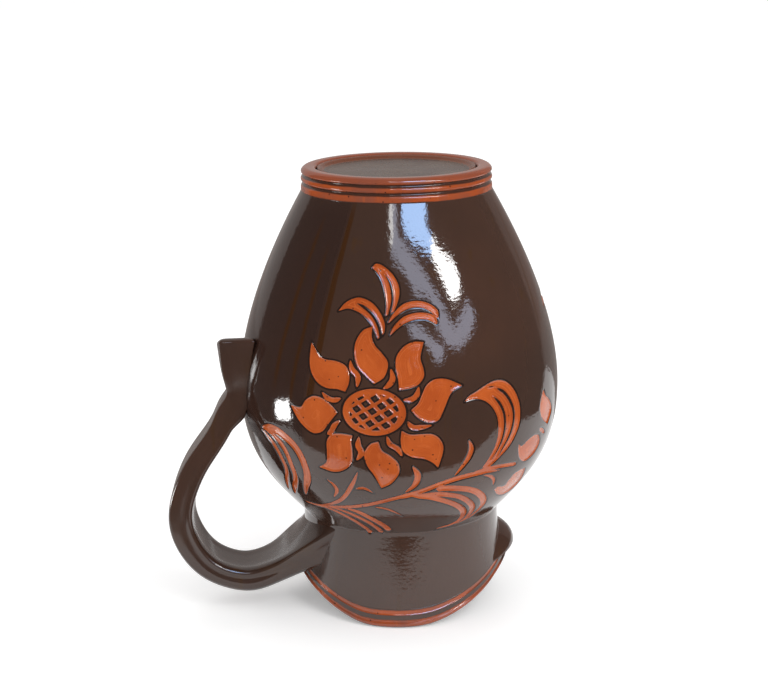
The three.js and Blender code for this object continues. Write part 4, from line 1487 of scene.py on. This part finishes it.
def dark_ground(name, edge, colour, strength):
    """Dark floor round a pale patch, whose edge is given as azimuth and distance in mm from the axis."""
    azimuths = np.linspace(edge[0][0], edge[-1][0], GROUND_COLUMNS)
    near = np.interp(azimuths, [a for a, _ in edge], [d for _, d in edge])
    corners = [(AXIS_X * MM + d * MM * math.sin(math.radians(a)),
                -d * MM * math.cos(math.radians(a)), GROUND_LIFT)
               for line in (near, np.full(GROUND_COLUMNS, GROUND_END)) for a, d in zip(azimuths, line)]
    mirror_only(sheet_of(name, corners, quads(2, GROUND_COLUMNS, False).tolist()), colour, strength)


vault("dark_room", -136, 117, -4.3, ROOM, 0.11)
vault("room_behind", 150, 224, -2, (1, 0.93, 0.90), 0.44)
vault("room_behind_lip", 117, 150, -2, (1, 0.80, 0.74), 0.30)
dark_ground("dark_ground", [(-136, 560), (-129, 509), (-119, 330), (-85, 344), (-70, 240), (-34, 165),
                            (-10, 138), (8, 154), (27, 172), (39, 229), (56, 331), (79, 345), (100, 355),
                            (115, 853)], ROOM, 0.11)
dark_ground("ground_behind", [(115, 853), (135, 330), (150, 200), (180, 140), (205, 150), (224, 200)],
            (1, 0.90, 0.86), 0.34)
card("window_sky", [(-4, 53), (34, 51), (29, 46), (24, 46), (29, 42), (24, 39), (7, 43), (-2, 46), (-4, 48)],
     1.0, 17, (0.40, 0.62, 1.0))
card("window_low", [(29, 42), (35, 38), (46, 34), (46, 30), (44, 28), (35, 27), (30, 34), (24, 39)], 1.0, 22)
card("window_slit", [(-21, 51), (-15, 51), (-15, 43), (-18, 43)], 1.0, 10)
card("window_wall", [(-20, 53), (-10, 53), (-10, 46), (-2, 43), (12, 38), (19, 34), (25, 29), (29, 25),
                     (33, 21), (49, 25), (53, 20), (43, 17), (33, 15), (27, 16), (19, 23), (17, 30), (5, 32),
                     (-3, 37), (-16, 41), (-18, 44)], 1.03, 4.4, WINDOW_GREY)
card("window_sill", [(-4, 26), (5, 25), (24, 16), (21, 13), (17, 12), (9, 19), (0, 21)],
     1.0, 4.4, WINDOW_GREY)
card("side_window", [(-96, -9), (-83, -6), (-82, -10), (-82, -15), (-93, -16), (-97, -15)], 0.30, 20)

# %% [markdown]
# ## Lamps
# Three soft boxes light the clay itself. The gloss doesn't see them, because the cards already give
# its highlights.

# %% Set the lamps
def lamp(name, azimuth, elevation, distance, width, height, power):
    light = bpy.data.lights.new(name, "AREA")
    light.shape = "RECTANGLE"
    light.size = width
    light.size_y = height
    light.energy = power
    box = add_object(name, light)
    box.location = toward(azimuth, elevation, distance)
    away = box.location - Vector(toward(0, 0, 0))
    box.rotation_euler = away.to_track_quat("Z", "Y").to_euler()
    box.visible_glossy = False


lamp("window_light", 25, 35, 1.2, 0.5, 0.7, 5)
lamp("side_light", -110, 20, 1.6, 0.8, 0.8, 4)
lamp("back_light", 160, 35, 1.6, 0.9, 0.9, 4)
